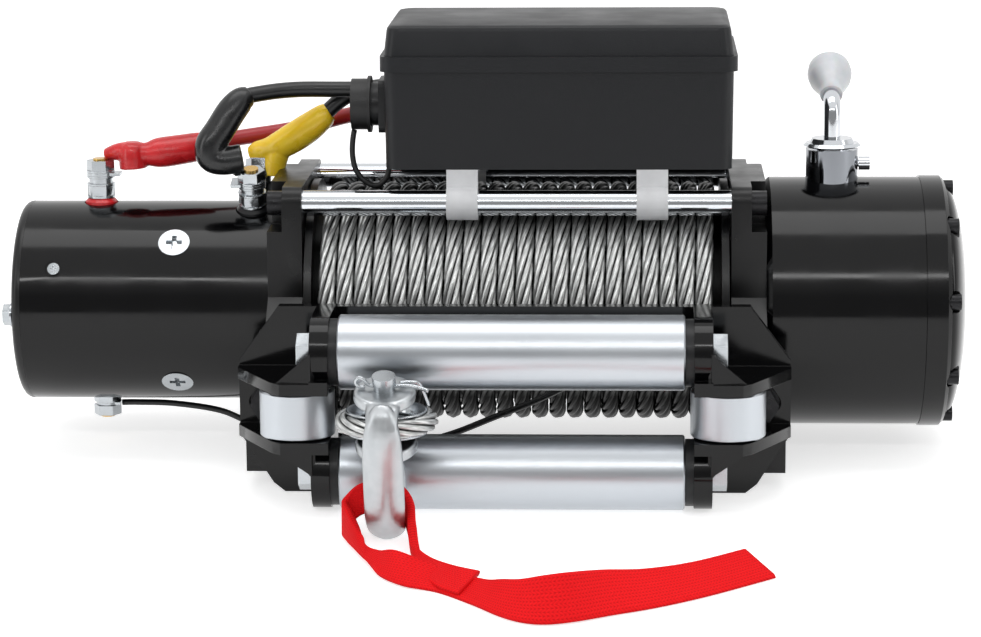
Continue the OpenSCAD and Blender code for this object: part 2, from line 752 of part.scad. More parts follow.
module pole_shoes() {
    x0 = pole_screw_x - shoe_len / 2;
    r_in = armature_d / 2 + air_gap;
    color("#55575a") on_motor() difference() {
        for (i = [0 : 3]) rotate([90 * i, 0, 0]) translate([x0, 0, 0]) {
            translate([coil_t + face, 0, 0]) shoe_sector(motor_bore - face, r_in + shoe_t,
                shoe_angle / 2, shoe_len - 2 * coil_t - 2 * face);
            shoe_sector(r_in + shoe_t, r_in, shoe_angle, shoe_len);
        }
        each_pole() translate([0, 0, motor_r - screw_cone_h - shoe_t - face])
            cylinder(d = pole_screw_d / 2 + 2 * fit, h = motor_r);
    }
}

module field_coils() {
    x0 = pole_screw_x - shoe_len / 2;
    r_in = armature_d / 2 + air_gap + shoe_t + seat;
    color("#a8552f") on_motor() for (i = [0 : 3]) rotate([90 * i, 0, 0]) difference() {
        translate([x0 + face, 0, 0])
            shoe_sector(r_in + coil_t, r_in, shoe_angle - 2, shoe_len - 2 * face);
        translate([x0 + coil_t, 0, 0])
            shoe_sector(motor_r, r_in - cut, shoe_angle / 2 + 2, shoe_len - 2 * coil_t);
    }
}

module armature_shaft() {
    color(steel) on_motor() difference() {
        translate([-support_t / 2, 0, 0]) along_x()
            cylinder(d = shaft_d, h = support_t / 2 + motor_len - seat);
        translate([-support_t / 2 - cut, 0, 0]) along_x() hex(shaft_d / 2, support_t);
    }
}

module armature_core() {
    slots = 18;
    slot_w = 3.4;
    slot_depth = 9;
    color("#6d6f73") on_motor() translate([core_x, 0, 0]) along_x() difference() {
        cylinder(d = armature_d, h = armature_len);
        translate([0, 0, -cut]) cylinder(d = shaft_d + 2 * fit, h = armature_len + 2 * cut);
        for (i = [0 : slots - 1]) rotate([0, 0, 360 / slots * i])
            translate([armature_d / 2 - slot_depth, -slot_w / 2, -cut])
            cube([slot_depth + cut, slot_w, armature_len + 2 * cut]);
    }
}

module commutator() {
    color("#b4693a") on_motor() translate([brush_x - comm_len / 2, 0, 0]) along_x()
        ring(comm_d, shaft_d + 2 * fit, comm_len);
}

module brush_holder() {
    brush_l = 9;
    brush_w = 10;
    ring_t = 3;
    color("#7b6a45") on_motor() translate([brush_x, 0, 0]) {
        translate([comm_len / 2 - ring_t, 0, 0]) along_x()
            difference() {
                ring(2 * (motor_bore - face), comm_d + 2 * air_gap, ring_t);
                for (front = [-1, 1]) translate([0, front * bolt_ring, -cut])
                    cylinder(d = bolt_d + 2 * seat, h = ring_t + 2 * cut);
            }
        for (i = [0 : 3]) rotate([45 + 90 * i, 0, 0])
            translate([-comm_len / 2 + ring_t, -brush_w / 2, comm_d / 2 + seat])
            cube([comm_len - 1.5 * ring_t, brush_w, brush_l]);
    }
}

module drive_shaft() {
    color(steel) at_axis() {
        translate([-seat_x + seat, 0, 0]) along_x()
            hex(shaft_d / 2 - 4 * fit, support_t / 2);
        translate([-seat_x + support_t / 2 + face, 0, 0]) along_x()
            cylinder(d = shaft_d, h = 2 * seat_x - support_t / 2 + gear_plug - face);
    }
}

// Terminals
nut_h = 5.5;
lock_nut_h = 3;
washer_d = 15;
washer_t = 1.2;
lug_t = 1.6;
base_r = motor_r - bush_flat + bush_flange_t;         // top of an insulating bush
lug_r = base_r + 3 * washer_t + nut_h + lock_nut_h;   // underside of a cable lug

module terminal_studs() {
    len = motor_r + stud_h - motor_bore + shoe_t / 2;
    color(brass) on_motor() {
        red_terminal() translate([0, 0, motor_bore - shoe_t / 2]) cylinder(d = stud_d, h = len);
        black_terminals() translate([0, 0, motor_bore - shoe_t / 2]) cylinder(d = stud_d, h = len);
        earth_terminal() translate([0, 0, motor_bore - shoe_t / 2])
            cylinder(d = stud_d, h = motor_wall - bush_flat + shoe_t / 2 + 2 * nut_h + lug_t + washer_t);
    }
}

// Nuts and washers of one stud, from height z upwards
module stud_stack(z) {
    bore = stud_d + 2 * fit;
    difference() {
        union() {
            translate([0, 0, z]) cylinder(d = washer_d, h = washer_t);
            translate([0, 0, z + washer_t]) hex(stud_nut_af, nut_h);
            translate([0, 0, z + washer_t + nut_h]) cylinder(d = washer_d, h = washer_t);
            translate([0, 0, z + 2 * washer_t + nut_h]) cylinder(d = washer_d * 0.85, h = lock_nut_h);
            translate([0, 0, lug_r - washer_t]) cylinder(d = washer_d, h = washer_t);
            translate([0, 0, lug_r + lug_t]) cylinder(d = washer_d, h = washer_t);
            translate([0, 0, lug_r + lug_t + washer_t]) hex(stud_nut_af, nut_h);
        }
        translate([0, 0, z - cut]) cylinder(d = bore, h = 2 * stud_h);
    }
}

module terminal_nuts() {
    color(zinc) on_motor() {
        red_terminal() stud_stack(base_r);
        black_terminals() stud_stack(base_r);
        earth_terminal() difference() {
            union() {
                translate([0, 0, motor_r - bush_flat]) hex(stud_nut_af, nut_h);
                translate([0, 0, motor_r - bush_flat + nut_h + lug_t]) hex(stud_nut_af, nut_h);
            }
            translate([0, 0, motor_r - nut_h]) cylinder(d = stud_d + 2 * fit, h = 4 * nut_h);
        }
    }
}

module insulating_bush() {
    translate([0, 0, motor_bore - motor_wall]) difference() {
        union() {
            cylinder(d = bush_hole, h = 2 * motor_wall);
            translate([0, 0, 2 * motor_wall - bush_flat]) rotate_extrude() polygon([[0, 0],
                [bush_flange / 2 - bush_chamfer, 0], [bush_flange / 2, bush_chamfer],
                [bush_flange / 2, bush_flange_t - 2 * bush_chamfer],
                [bush_flange / 2 - 2 * bush_chamfer, bush_flange_t], [0, bush_flange_t]]);
        }
        translate([0, 0, -cut]) cylinder(d = stud_d + 2 * fit, h = motor_r);
    }
}

module red_insulator() { color(red) on_motor() red_terminal() insulating_bush(); }

module black_insulators() { color(black_satin) on_motor() black_terminals() insulating_bush(); }

// Gearbox and clutch
gear_r = gear_d / 2;
gear_plug = 14;                       // length of the drive shaft in the gearbox
step_t = 0.8;                         // step of the cover's rim
gear_chamfer = 3;                     // chamfer at the gearbox's seat
rim_chamfer = 2;                      // chamfer of the cover's rim
rim_wall = 1.2;                       // between a cover screw's head and the housing's skin
cover_bolt_ring = gear_r - cover_screw_d / 2 - rim_wall;
cover_screw_h = 8;                    // head of a cover screw
screw_sink = 3;                       // depth of a head's pocket below the rim's face
screw_room = 1.5;                     // room round a head in its pocket
dome_edge = 3.5;                      // distance of the dome's edge inside the housing's skin
dome_r = gear_r - dome_edge;
boss_sink = 5;                        // depth of the clutch boss's seat
clutch_seat = gear_r - boss_sink;

module on_gear() { at_axis() translate([seat_x, 0, 0]) children(); }

module gear_housing() {
    color(black_satin) on_gear() difference() {
        along_x() rotate_extrude($fn = 96) polygon([[0, 0], [gear_r - gear_chamfer, 0], [gear_r, gear_chamfer],
            [gear_r, gear_len], [0, gear_len]]);
        translate([-cut, 0, 0]) along_x() cylinder(d = shaft_d + 2 * seat, h = gear_plug + cut + seat);
        translate([clutch_x, 0, clutch_seat]) cylinder(d = clutch_d + 2 * fit, h = gear_r);
        each_cover_screw() translate([0, 0, -2 * cover_screw_d])
            cylinder(d = cover_screw_d / 2, h = 2 * cover_screw_d + cut);
    }
}

// A child moved to each cover screw, where the cover meets the housing, its +Z axis pointing out
module each_cover_screw() {
    for (i = [0 : cover_screws_n - 1]) rotate([360 / cover_screws_n * i, 0, 0])
        translate([gear_len, 0, cover_bolt_ring]) along_x() children();
}

module gear_cover() {
    color(black_satin) on_gear() difference() {
        translate([gear_len, 0, 0]) along_x() rotate_extrude($fn = 96) polygon([[0, 0],
            [gear_r + step_t, 0], [gear_r + step_t, cover_t - rim_chamfer],
            [gear_r + step_t - rim_chamfer, cover_t],
            for (a = [90 : -6 : 0]) [dome_r * sin(a), cover_t + dome_h * cos(a)]]);
        each_cover_screw() {
            translate([0, 0, -cut]) cylinder(d = cover_screw_d / 2 + 2 * fit, h = cover_t + 2 * cut);
            translate([0, 0, cover_t - screw_sink])
                cylinder(d = cover_screw_d + 2 * screw_room, h = screw_sink + dome_h);
        }
    }
}

module cover_screws() {
    color(black_gloss) on_gear() each_cover_screw() difference() {
        union() {
            translate([0, 0, cover_t - screw_sink]) cylinder(d = cover_screw_d, h = cover_screw_h);
            translate([0, 0, -cover_t]) cylinder(d = cover_screw_d / 2 - 2 * fit, h = 2 * cover_t - screw_sink);
        }
        translate([0, 0, cover_t - screw_sink + cover_screw_h / 2]) hex(cover_screw_d / 2, cover_screw_h);
    }
}

boss_top = gear_r + clutch_h;
collar_d = 31;
collar_t = 2.2;
disc_d = 24;
disc_t = 2.4;
groove = 1.2;
boss_wall = 5;

module on_clutch() { on_gear() translate([clutch_x, 0, 0]) children(); }

module clutch_boss() {
    color(steel) on_clutch() difference() {
        translate([0, 0, clutch_seat]) cylinder(d = clutch_d, h = boss_top - clutch_seat);
        translate([0, 0, boss_top - clutch_h]) cylinder(d = clutch_d - 2 * boss_wall, h = boss_top);
        translate([clutch_d / 2 - boss_wall - cut, 0, boss_top - clutch_h / 2]) along_x()
            cylinder(d = stop_hole_d, h = boss_wall + 2 * cut);
    }
}

stop_d = 7.2;                         // head of the clutch's stop screw
stop_len = 6;
stop_hole_d = 4;

module clutch_stop_screw() {
    color(steel) on_clutch() translate([clutch_d / 2 - boss_wall, 0, boss_top - clutch_h / 2]) along_x() {
        cylinder(d = stop_hole_d - 2 * fit, h = boss_wall + seat);
        translate([0, 0, boss_wall + seat]) cylinder(d = stop_d, h = stop_len);
    }
}

// The lever's stem leans back and up after its elbow
elbow_lean = 65;
elbow_r = 8;                          // radius of the bend, to the middle of the stem
neck_len = 6;
stem_z = boss_top + groove + collar_t + disc_t;

module clutch_lever() {
    color(steel) on_clutch() {
        // spindle, collar and disc
        translate([0, 0, boss_top - clutch_h + seat])
            cylinder(d = clutch_d - 2 * boss_wall - 2 * fit, h = clutch_h + groove);
        translate([0, 0, boss_top + groove]) rotate_extrude() polygon([[0, 0],
            [(collar_d - collar_t) / 2, 0], [collar_d / 2, collar_t / 3],
            [collar_d / 2 - collar_t * 0.7, collar_t], [0, collar_t]]);
        translate([0, 0, boss_top + groove + collar_t])
            cylinder(d1 = disc_d, d2 = disc_d - disc_t, h = disc_t);
        tube(stem_path, stem_d / 2, 24, [1, 0, 0]);
    }
}

stem_path = [[0, 0, stem_z - disc_t / 2], [0, 0, stem_z + stem_h / 2],
    for (a = [0 : elbow_lean / 6 : elbow_lean])
        [0, elbow_r * (1 - cos(a)), stem_z + stem_h + elbow_r * sin(a)],
    [0, elbow_r * (1 - cos(elbow_lean)) + neck_len * sin(elbow_lean),
        stem_z + stem_h + elbow_r * sin(elbow_lean) + neck_len * cos(elbow_lean)]];

// A child moved to the end of the neck, its +Z axis along it
module at_neck() { translate(stem_path[len(stem_path) - 1]) rotate([-elbow_lean, 0, 0]) children(); }

// Teardrop outline of the knob: height share, radius share
knob_len = 34;
knob_shares = [[0, 0.5], [0.12, 0.54], [0.3, 0.72], [0.48, 0.93], [0.62, 1], [0.76, 0.95],
    [0.88, 0.74], [0.96, 0.42], [1, 0]];

module clutch_knob() {
    color("#d9dadc") on_clutch() at_neck() rotate_extrude()
        polygon([[0, 0], for (p = knob_shares) [p[1] * knob_d / 2, p[0] * knob_len]]);
}

// Fairlead
roller_r = roller_d / 2;
fair_y = -pad_y;                      // back face of the fairlead, on the supports' pads
fair_top = 14.6;
fair_bottom = -84;
fair_side_top = -14;                  // the sides run straight between these two heights
fair_side_bottom = -53;
fair_top_w = 244;
fair_bottom_w = 252;
fair_round = 6;
roller_play = 4.5;                    // room for a washer between a roller and its ear
ear_in = roller_len / 2 + roller_play;        // inner face of an ear
ear_r = 18.6;
window_top = -12;                     // window for the rope
window_bottom = -60;
shelf_up_z = -22.5;                   // underside of the upper shelf
shelf_low_z = -53;                    // underside of the lower shelf
shelf_front = 143;                    // front edge of the shelves, in front of the drum axis
shelf_corner = 122;                   // where the shelf's side starts to slant
rib_t = 3.5;

module fair_outline() {
    w = fair_w / 2;
    low = fair_bottom_w / 2;
    right = [[fair_top_w / 2, fair_top], [w, fair_side_top], [w, fair_side_bottom],
        [low + fair_round, fair_bottom + fair_round * 2.4], [low, fair_bottom + fair_round * 0.8],
        [low - fair_round, fair_bottom]];
    polygon([each right, for (i = [len(right) - 1 : -1 : 0]) [-right[i].x, right[i].y]]);
}

// Plan of a shelf, right of the rope
module shelf_plan() {
    w = fair_w / 2;
    polygon([[ear_in, -fair_y], [w, -fair_y], [w, -fair_y + fair_t + foot_edge],
        [shelf_corner, shelf_front - foot_edge], [shelf_corner - foot_edge, shelf_front],
        [ear_in, shelf_front]]);
}

// An ear round a long roller's axis, joined to the shelf at height z0
module ear(axis_z, z0, z1) {
    translate([ear_in, 0, 0]) along_x() linear_extrude(height = ear_t) {
        translate([-axis_z, -roller_y]) circle(r = ear_r);
        polygon([[-axis_z - ear_r, -roller_y], [-axis_z - ear_r, fair_y], [-axis_z + ear_r, fair_y],
            [-axis_z + ear_r, -roller_y]]);
        polygon([[-z0, -shelf_front], [-z0, fair_y], [-z1, fair_y], [-z1, -shelf_front]]);
    }
}

// Cast ribs that fan out between an ear and its shelf
module fan_ribs(z, up, h) {
    for (turn = [4, 30, 56]) translate([ear_in + ear_t - cut, -shelf_front + rib_t, z])
        rotate([0, 0, turn]) mirror([0, 0, up > 0 ? 0 : 1]) along_front()
        linear_extrude(height = rib_t, center = true)
        polygon([[0, -cut], [roller_d * 0.5, -cut], [0, h]]);
}

module fairlead_frame() {
    color(black_gloss) at_axis() difference() {
        union() {
            translate([0, fair_y, 0]) along_front() linear_extrude(height = fair_t) fair_outline();
            both_ends() {
                for (z = [shelf_up_z, shelf_low_z]) translate([0, 0, z]) mirror([0, 1, 0])
                    linear_extrude(height = shelf_t) shelf_plan();
                ear(roller_up_z, shelf_up_z, shelf_up_z + shelf_t + cut);
                ear(roller_low_z, shelf_low_z, shelf_low_z + shelf_t);
                fan_ribs(shelf_up_z + shelf_t, 1, roller_r * 0.8);
                fan_ribs(shelf_low_z, -1, roller_r * 0.6);
            }
        }
        translate([-ear_in, fair_y - fair_t - cut, window_bottom])
            cube([2 * ear_in, fair_t + 2 * cut, window_top - window_bottom]);
        for (z = [roller_up_z, roller_low_z]) translate([-ear_in - ear_t - cut, -roller_y, z]) along_x()
            cylinder(d = roller_bolt_d + 2 * fit, h = 2 * (ear_in + ear_t + cut));
        both_ends() {
            translate([roller_side_x, -roller_y, shelf_low_z - cut])
                cylinder(d = roller_bolt_d + 2 * fit, h = shelf_up_z - shelf_low_z + shelf_t + 2 * cut);
            // room for the nut or head beside the ear
            for (z = [roller_up_z, roller_low_z])
                translate([ear_in + ear_t, -roller_y, z]) along_x()
                cylinder(d = bolt_af / cos(30) + 2 * fit, h = bolt_h + seat);
            slot_at(bolt_x);
        }
    }
}

// Slot for a fairlead bolt, long along the drum
module slot_at(x) {
    for (side = [-1, 1]) translate([x + side * (slot_len - slot_d) / 2, fair_y + cut, slot_z])
        along_front() cylinder(d = slot_d, h = fair_t + 2 * cut);
    translate([x - (slot_len - slot_d) / 2, fair_y - fair_t - cut, slot_z - slot_d / 2])
        cube([slot_len - slot_d, fair_t + 2 * cut, slot_d]);
}

bolt_af = 17;
bolt_h = 7.5;
fair_head_h = 6.4;
fair_washer_t = 2;
tube_wall = 3.5;
roller_edge = 0.8;                    // chamfer of a roller's ends
washer_step = 2;                      // how far a roller's washer stays inside its skin
plug_len = 14;

// Roller tube with its plugged ends, along +Z
module roller(len) {
    bore = roller_bolt_d / 2 + fit;
    rotate_extrude() polygon([[bore, 0], [roller_r - roller_edge, 0], [roller_r, roller_edge],
        [roller_r, len - roller_edge], [roller_r - roller_edge, len], [bore, len],
        [bore, len - min(plug_len, len / 3)],
        [roller_r - tube_wall, len - min(plug_len, len / 3)], [roller_r - tube_wall, min(plug_len, len / 3)],
        [bore, min(plug_len, len / 3)]]);
}

side_roller_h = shelf_up_z - shelf_low_z - shelf_t - 2 * seat;

module long_roller(z) {
    color(zinc) at_axis() translate([-roller_len / 2, -roller_y, z]) along_x() roller(roller_len);
}
module upper_roller() { long_roller(roller_up_z); }
module lower_roller() { long_roller(roller_low_z); }

module side_roller(side) {
    color(zinc) at_axis() translate([side * roller_side_x, -roller_y, shelf_low_z + shelf_t + seat])
        roller(side_roller_h);
}
module left_roller() { side_roller(-1); }
module right_roller() { side_roller(1); }

module roller_bolts() {
    color(steel) at_axis() {
        for (z = [roller_up_z, roller_low_z]) translate([-ear_in - ear_t, -roller_y, z]) along_x() {
            cylinder(d = roller_bolt_d, h = 2 * (ear_in + ear_t));
            translate([0, 0, -bolt_h]) hex(bolt_af, bolt_h);
            translate([0, 0, 2 * (ear_in + ear_t)]) hex(bolt_af, bolt_h);
        }
        both_ends() translate([roller_side_x, -roller_y, shelf_low_z])
            cylinder(d = roller_bolt_d, h = shelf_up_z - shelf_low_z + shelf_t);
    }
}

module roller_washers() {
    color(black_satin) at_axis() both_ends() for (z = [roller_up_z, roller_low_z])
        translate([roller_len / 2 + seat, -roller_y, z]) along_x()
        ring(roller_d - 2 * washer_step, roller_bolt_d + 2 * fit, ear_in - roller_len / 2 - seat);
}

module fairlead_bolts() {
    color(black_gloss) at_axis() both_ends() translate([bolt_x, fair_y, slot_z]) along_front() {
        translate([0, 0, -2 * fair_bolt_d + seat])
            cylinder(d = fair_bolt_d - 2 * fit, h = 2 * fair_bolt_d + fair_t);
        translate([0, 0, fair_t]) cylinder(d = 2 * fair_bolt_d, h = fair_washer_t);
        translate([0, 0, fair_t + fair_washer_t]) hex(bolt_af, fair_head_h);
    }
}

// Control box
box_len = box_right - box_left;
box_mid = (box_left + box_right) / 2;
box_round = 7;
box_draft = 0.5;
rim_h = 8;
rim_out = 2;
lid_draft = 1.5;
lid_round = 3;                        // rounding of the lid's upper edge
can_round = 4;

module on_box() { at_axis() translate([box_mid, 0, box_z]) children(); }

// Box with draft between two heights
module drafted(x0, y0, x1, y1, h) {
    hull() {
        round_box(x0, y0, slice, box_round);
        translate([0, 0, h - slice]) round_box(x1, y1, slice, box_round);
    }
}

// The same with a rounded upper edge
module crowned(x0, y0, x1, y1, h, r) {
    hull() {
        round_box(x0, y0, slice, box_round);
        for (a = [0 : 30 : 90]) translate([0, 0, h - slice - r * (1 - sin(a))])
            round_box(x1 - 2 * r * (1 - cos(a)), y1 - 2 * r * (1 - cos(a)), slice, box_round);
    }
}

module control_box() {
    color("#2b2c30") on_box() difference() {
        drafted(box_len - 2 * box_draft - 2 * rim_out, box_w - 2 * box_draft - 2 * rim_out,
            box_len - 2 * rim_out, box_w - 2 * rim_out, box_base_h);
        translate([0, 0, box_wall]) drafted(box_len - 2 * box_draft - 2 * rim_out - 2 * box_wall,
            box_w - 2 * box_draft - 2 * rim_out - 2 * box_wall,
            box_len - 2 * rim_out - 2 * box_wall, box_w - 2 * rim_out - 2 * box_wall, box_base_h);
        // socket hole and cable holes in the left wall
        translate([-box_len / 2 - cut, socket_y, socket_z]) along_x()
            cylinder(d = socket_d + 2 * fit, h = 4 * box_wall + 2 * cut);
        for (c = cable_exits) translate([-box_len / 2 - cut, c.x, c.y]) along_x()
            cylinder(d = cable_d + 2 * fit, h = 4 * box_wall + 2 * cut);
        for (x = clamp_places) for (front = [-1, 1])
            translate([x - box_mid, front * (rod_y - clamp_in), -cut])
            cylinder(d = clamp_screw_d + 2 * fit, h = 2 * box_wall + cut);
    }
}

module box_lid() {
    color("#37383c") on_box() translate([0, 0, box_base_h + face]) difference() {
        union() {
            drafted(box_len, box_w, box_len, box_w, rim_h);
            translate([0, 0, rim_h - slice]) crowned(box_len - 2 * rim_out, box_w - 2 * rim_out,
                box_len - 2 * rim_out - 2 * lid_draft, box_w - 2 * rim_out - 2 * lid_draft,
                box_lid_h - rim_h, lid_round);
        }
        translate([0, 0, -cut]) drafted(box_len - 2 * rim_out - 2 * box_wall,
            box_w - 2 * rim_out - 2 * box_wall,
            box_len - 2 * rim_out - 2 * lid_draft - 2 * lid_round - 2 * box_wall,
            box_w - 2 * rim_out - 2 * lid_draft - 2 * lid_round - 2 * box_wall, box_lid_h - box_wall);
    }
}

clamp_places = [-28.5, 71.5];
clamp_screw_d = 5;
clamp_t = 2.2;

clamp_in = 11;                        // distance of a clamp's screw inside its rod

// Strap round a tie rod, with a tab screwed to the box's floor
module box_clamps() {
    rod_gap = box_z - rod_z;
    tab = clamp_in + clamp_screw_d + clamp_t;
    color("#d4d5d7") at_axis() for (x = clamp_places) for (front = [0, 1]) mirror([0, front, 0])
        translate([x - clamp_w / 2, rod_y, rod_z]) {
            along_x() ring(rod_d + 2 * clamp_t, rod_d + 2 * fit, clamp_w);
            difference() {
                translate([0, -clamp_t, 0]) cube([clamp_w, 2 * clamp_t, rod_gap]);
                along_x() translate([0, 0, -cut]) cylinder(d = rod_d + clamp_t, h = clamp_w + 2 * cut);
            }
            translate([0, -tab, rod_gap - clamp_t]) cube([clamp_w, tab, clamp_t]);
            translate([clamp_w / 2, -clamp_in, rod_gap - clamp_t])
                cylinder(d = clamp_screw_d, h = clamp_t + box_wall);
            translate([clamp_w / 2, -clamp_in, rod_gap + box_wall])
                cylinder(d = 2 * clamp_screw_d, h = clamp_t);
        }
}

module contactors() {
    can_d = 36;
    can_h = 40;
    post_d = 6;
    can_pitch = 40;
    color("#8b7a3e") on_box() for (i = [-1.5 : 1.5]) translate([i * can_pitch, 2 * cut, box_wall]) {
        round_box(can_d, can_d, can_h, can_round);
        for (side = [-1, 1]) translate([side * can_d / 4, 0, can_h]) cylinder(d = post_d, h = 2 * post_d);
    }
}

socket_d = 20;
socket_y = -20;
socket_z = 31;                        // above the box's underside
socket_flange = 28;
socket_flange_t = 4;
socket_len = 13;
socket_out = 23;
socket_wall = 2.5;

module on_socket() {
    at_axis() translate([box_left + rim_out, socket_y, box_z + socket_z]) rotate([0, -90, 0]) children();
}

module remote_socket() {
    color(black_satin) on_socket() difference() {
        union() {
            translate([0, 0, -3 * box_wall]) cylinder(d = socket_d, h = 3 * box_wall + cut);
            round_box(socket_flange, socket_flange, socket_flange_t, can_round);
            cylinder(d = socket_out, h = socket_flange_t + socket_len);
        }
        translate([0, 0, socket_flange_t]) cylinder(d = socket_out - 2 * socket_wall, h = socket_len + cut);
    }
}

cap_wall = 1.8;

module socket_cap() {
    z0 = socket_flange_t + socket_len * 0.35;
    color("#1b1b1d") on_socket() translate([0, 0, z0]) difference() {
        union() {
            cylinder(d = socket_out + 2 * cap_wall + 2 * seat, h = socket_len * 0.65 + cap_wall + seat);
            cylinder(d = socket_out + 4 * cap_wall, h = cap_wall);
        }
        translate([0, 0, -cut]) cylinder(d = socket_out + 2 * seat, h = socket_len * 0.65 + seat + cut);
    }
}

// Cables
cable_d = 8.6;
cable_exits = [[2, 36], [14, 36], [15, 22]];  // places on the left wall: depth and height
earth_d = 3.4;

// Each route runs from the box to the terminal; the boot covers its last points
black_route = [[-62, 2, 115], [-78, 2, 115], [-100, 3, 115], [-121, 2, 115], [-138, -5, 114],
    [-150, -12, 111.5], [-158, -19, 103], [-163, -23, 91], [-162, -24, 80], [-157, -21.5, 72.5]];
yellow_route = [[-62, 14, 115], [-76, 14, 115], [-90, 13, 112], [-99, 12, 107], [-108, 12, 99],
    [-120, 15, 90.5], [-131, 19, 84.5], [-141, 20.5, 81.5]];
red_route = [[-62, 15, 101], [-76, 15, 101], [-84, 17, 100.6], [-98, 26, 97], [-124, 37, 89],
    [-153, 32, 85], [-176, 19, 83], [-188, 10, 81.5], [-203, 3, 81.5], [-219, 0, 80.5]];
black_boot_at = 5;                    // first route point under each boot
yellow_boot_at = 4;
red_boot_at = 6;
earth_route = [[-219.7, 0, -57.9], [-211, -1, -57.6], [-190, -4, -57.6], [-165, -4, -61.5],
    [-145, -4, -69.5], [-122, -4, -71.8], [-100, -14, -73], [-78, -34, -73], [-61, -46, -71],
    [-36, -58, -62], [-13, -62, -52], [12, -70, -40], [42, -77, -24], [75, -79, -11],
    [98, -77, -10], [109, -72, -14]];
cable_steps = 3;
boot_wall = 1;
boot_bulge = 2.6;

module cable(route, boot_at) {
    at_axis() tube(curve(route, cable_steps), cable_d / 2, 8, to = boot_at * cable_steps);
}
module boot(route, boot_at) {
    p = curve(route, cable_steps);
    n = len(p) - 1;
    i0 = boot_at * cable_steps;
    difference() {
        at_axis() tube(p, [for (i = [0 : n])
            cable_d / 2 + boot_wall + boot_bulge * sin(max(0, 150 * (i - i0) / (n - i0)))], 10, from = i0);
        on_motor() {
            red_terminal() nut_room(1);
            for (side = [-1, 1]) black_terminal(side) nut_room(-side);
        }
    }
}

// Room for a stud's top nut and the tongue of its lug, seen along the stud
module nut_room(side) {
    translate([0, 0, lug_r - face]) {
        cylinder(d = stud_nut_af / cos(30) + 2 * face, h = motor_r + stud_h - lug_r + 2 * face);
        translate([side > 0 ? -lug_len - face : 0, -washer_d / 3 - face, 0])
            cube([lug_len + face, washer_d / 1.5 + 2 * face, lug_t + 2 * face]);
    }
}

module red_cable() { color("#b3212b") cable(red_route, red_boot_at); }
module yellow_cable() { color(black_satin) cable(yellow_route, yellow_boot_at); }
module black_cable() { color(black_satin) cable(black_route, black_boot_at); }
module red_boot() { color(red) boot(red_route, red_boot_at); }
module yellow_boot() { color("#eab71f") boot(yellow_route, yellow_boot_at); }
module black_boot() { color(black_satin) boot(black_route, black_boot_at); }

// A ring lug with its tongue, on a stud, turned about the stud
module lug(side, len, d = washer_d) {
    difference() {
        union() {
            cylinder(d = d, h = lug_t);
            translate([side > 0 ? -len : 0, -d / 3, 0]) cube([len, d / 1.5, lug_t]);
        }
        translate([0, 0, -cut]) cylinder(d = stud_d + 2 * fit, h = lug_t + 2 * cut);
    }
}

lug_len = 11;
earth_lug_y = -72;
earth_lug_z = -20;

module cable_lugs() {
    color(zinc) {
        on_motor() {
            red_terminal() translate([0, 0, lug_r]) lug(1, lug_len);
            for (side = [-1, 1]) black_terminal(side) translate([0, 0, lug_r]) lug(-side, lug_len);
            earth_terminal() translate([0, 0, motor_r - bush_flat + nut_h])
                lug(1, washer_d / 2 + face, washer_d * 0.8);
        }
        // earth lug and its screw on the gearbox support
        at_axis() translate([support_in, earth_lug_y, earth_lug_z]) rotate([0, -90, 0]) {
            cylinder(d = washer_d * 0.8, h = lug_t);
            translate([0, 0, lug_t]) hex(bolt_head_af, nut_h / 2);
        }
    }
}

module earth_wire() { color(black_satin) at_axis() tube(curve(earth_route, cable_steps), earth_d / 2, 8); }

motor_housing();
motor_end_cap();
motor_through_bolts();
pole_screws();
pole_shoes();
field_coils();
armature_shaft();
armature_core();
commutator();
brush_holder();
drive_shaft();
terminal_studs();
terminal_nuts();
red_insulator();
black_insulators();
motor_support();
gear_support();
tie_rods();
tie_rod_screws();
drum();
drum_bushes();
rope_core();
rope_winding();
rope_lead();
rope_ferrule();
thimble();
hook();
clevis_pin();
cotter_pin();
hook_latch();
pull_strap();
gear_housing();
gear_cover();
cover_screws();
clutch_boss();
clutch_lever();
clutch_knob();
clutch_stop_screw();
fairlead_frame();
upper_roller();
lower_roller();
left_roller();
right_roller();
roller_bolts();
roller_washers();
fairlead_bolts();
control_box();
box_lid();
box_clamps();
contactors();
remote_socket();
socket_cap();
red_cable();
yellow_cable();
black_cable();
red_boot();
yellow_boot();
black_boot();
cable_lugs();
earth_wire();
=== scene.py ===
"""Looks of an electric recovery winch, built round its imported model.

Every CAD piece keeps its place and gets the finish of the real one. Wire rope, thimble, hook, cotter
pin, cables, boots, tether and webbing are surfaces worked out here. Lengths are metres unless a name
says otherwise, and the points of routes are millimetres in the drum axis frame: X along the drum,
-Y to the hook, Z up.
"""

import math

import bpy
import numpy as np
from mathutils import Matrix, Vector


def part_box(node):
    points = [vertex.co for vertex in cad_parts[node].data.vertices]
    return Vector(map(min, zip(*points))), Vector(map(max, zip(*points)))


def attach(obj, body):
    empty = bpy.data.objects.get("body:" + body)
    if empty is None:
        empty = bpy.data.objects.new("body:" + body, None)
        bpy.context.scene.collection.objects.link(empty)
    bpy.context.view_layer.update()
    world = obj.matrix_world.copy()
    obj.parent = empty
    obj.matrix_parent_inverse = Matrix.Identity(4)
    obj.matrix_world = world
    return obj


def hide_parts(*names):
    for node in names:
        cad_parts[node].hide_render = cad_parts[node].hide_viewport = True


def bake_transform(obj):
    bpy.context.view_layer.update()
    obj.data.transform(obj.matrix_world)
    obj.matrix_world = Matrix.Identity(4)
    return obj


bl_info = {
    "name": "Electric recovery winch",
    "version": (1, 0, 0),
    "blender": (4, 5, 0),
    "location": "3D View > Sidebar > Winch",
    "description": "Finishes, wire rope, hook, cables and webbing of an electric recovery winch",
    "category": "Add Mesh",
}

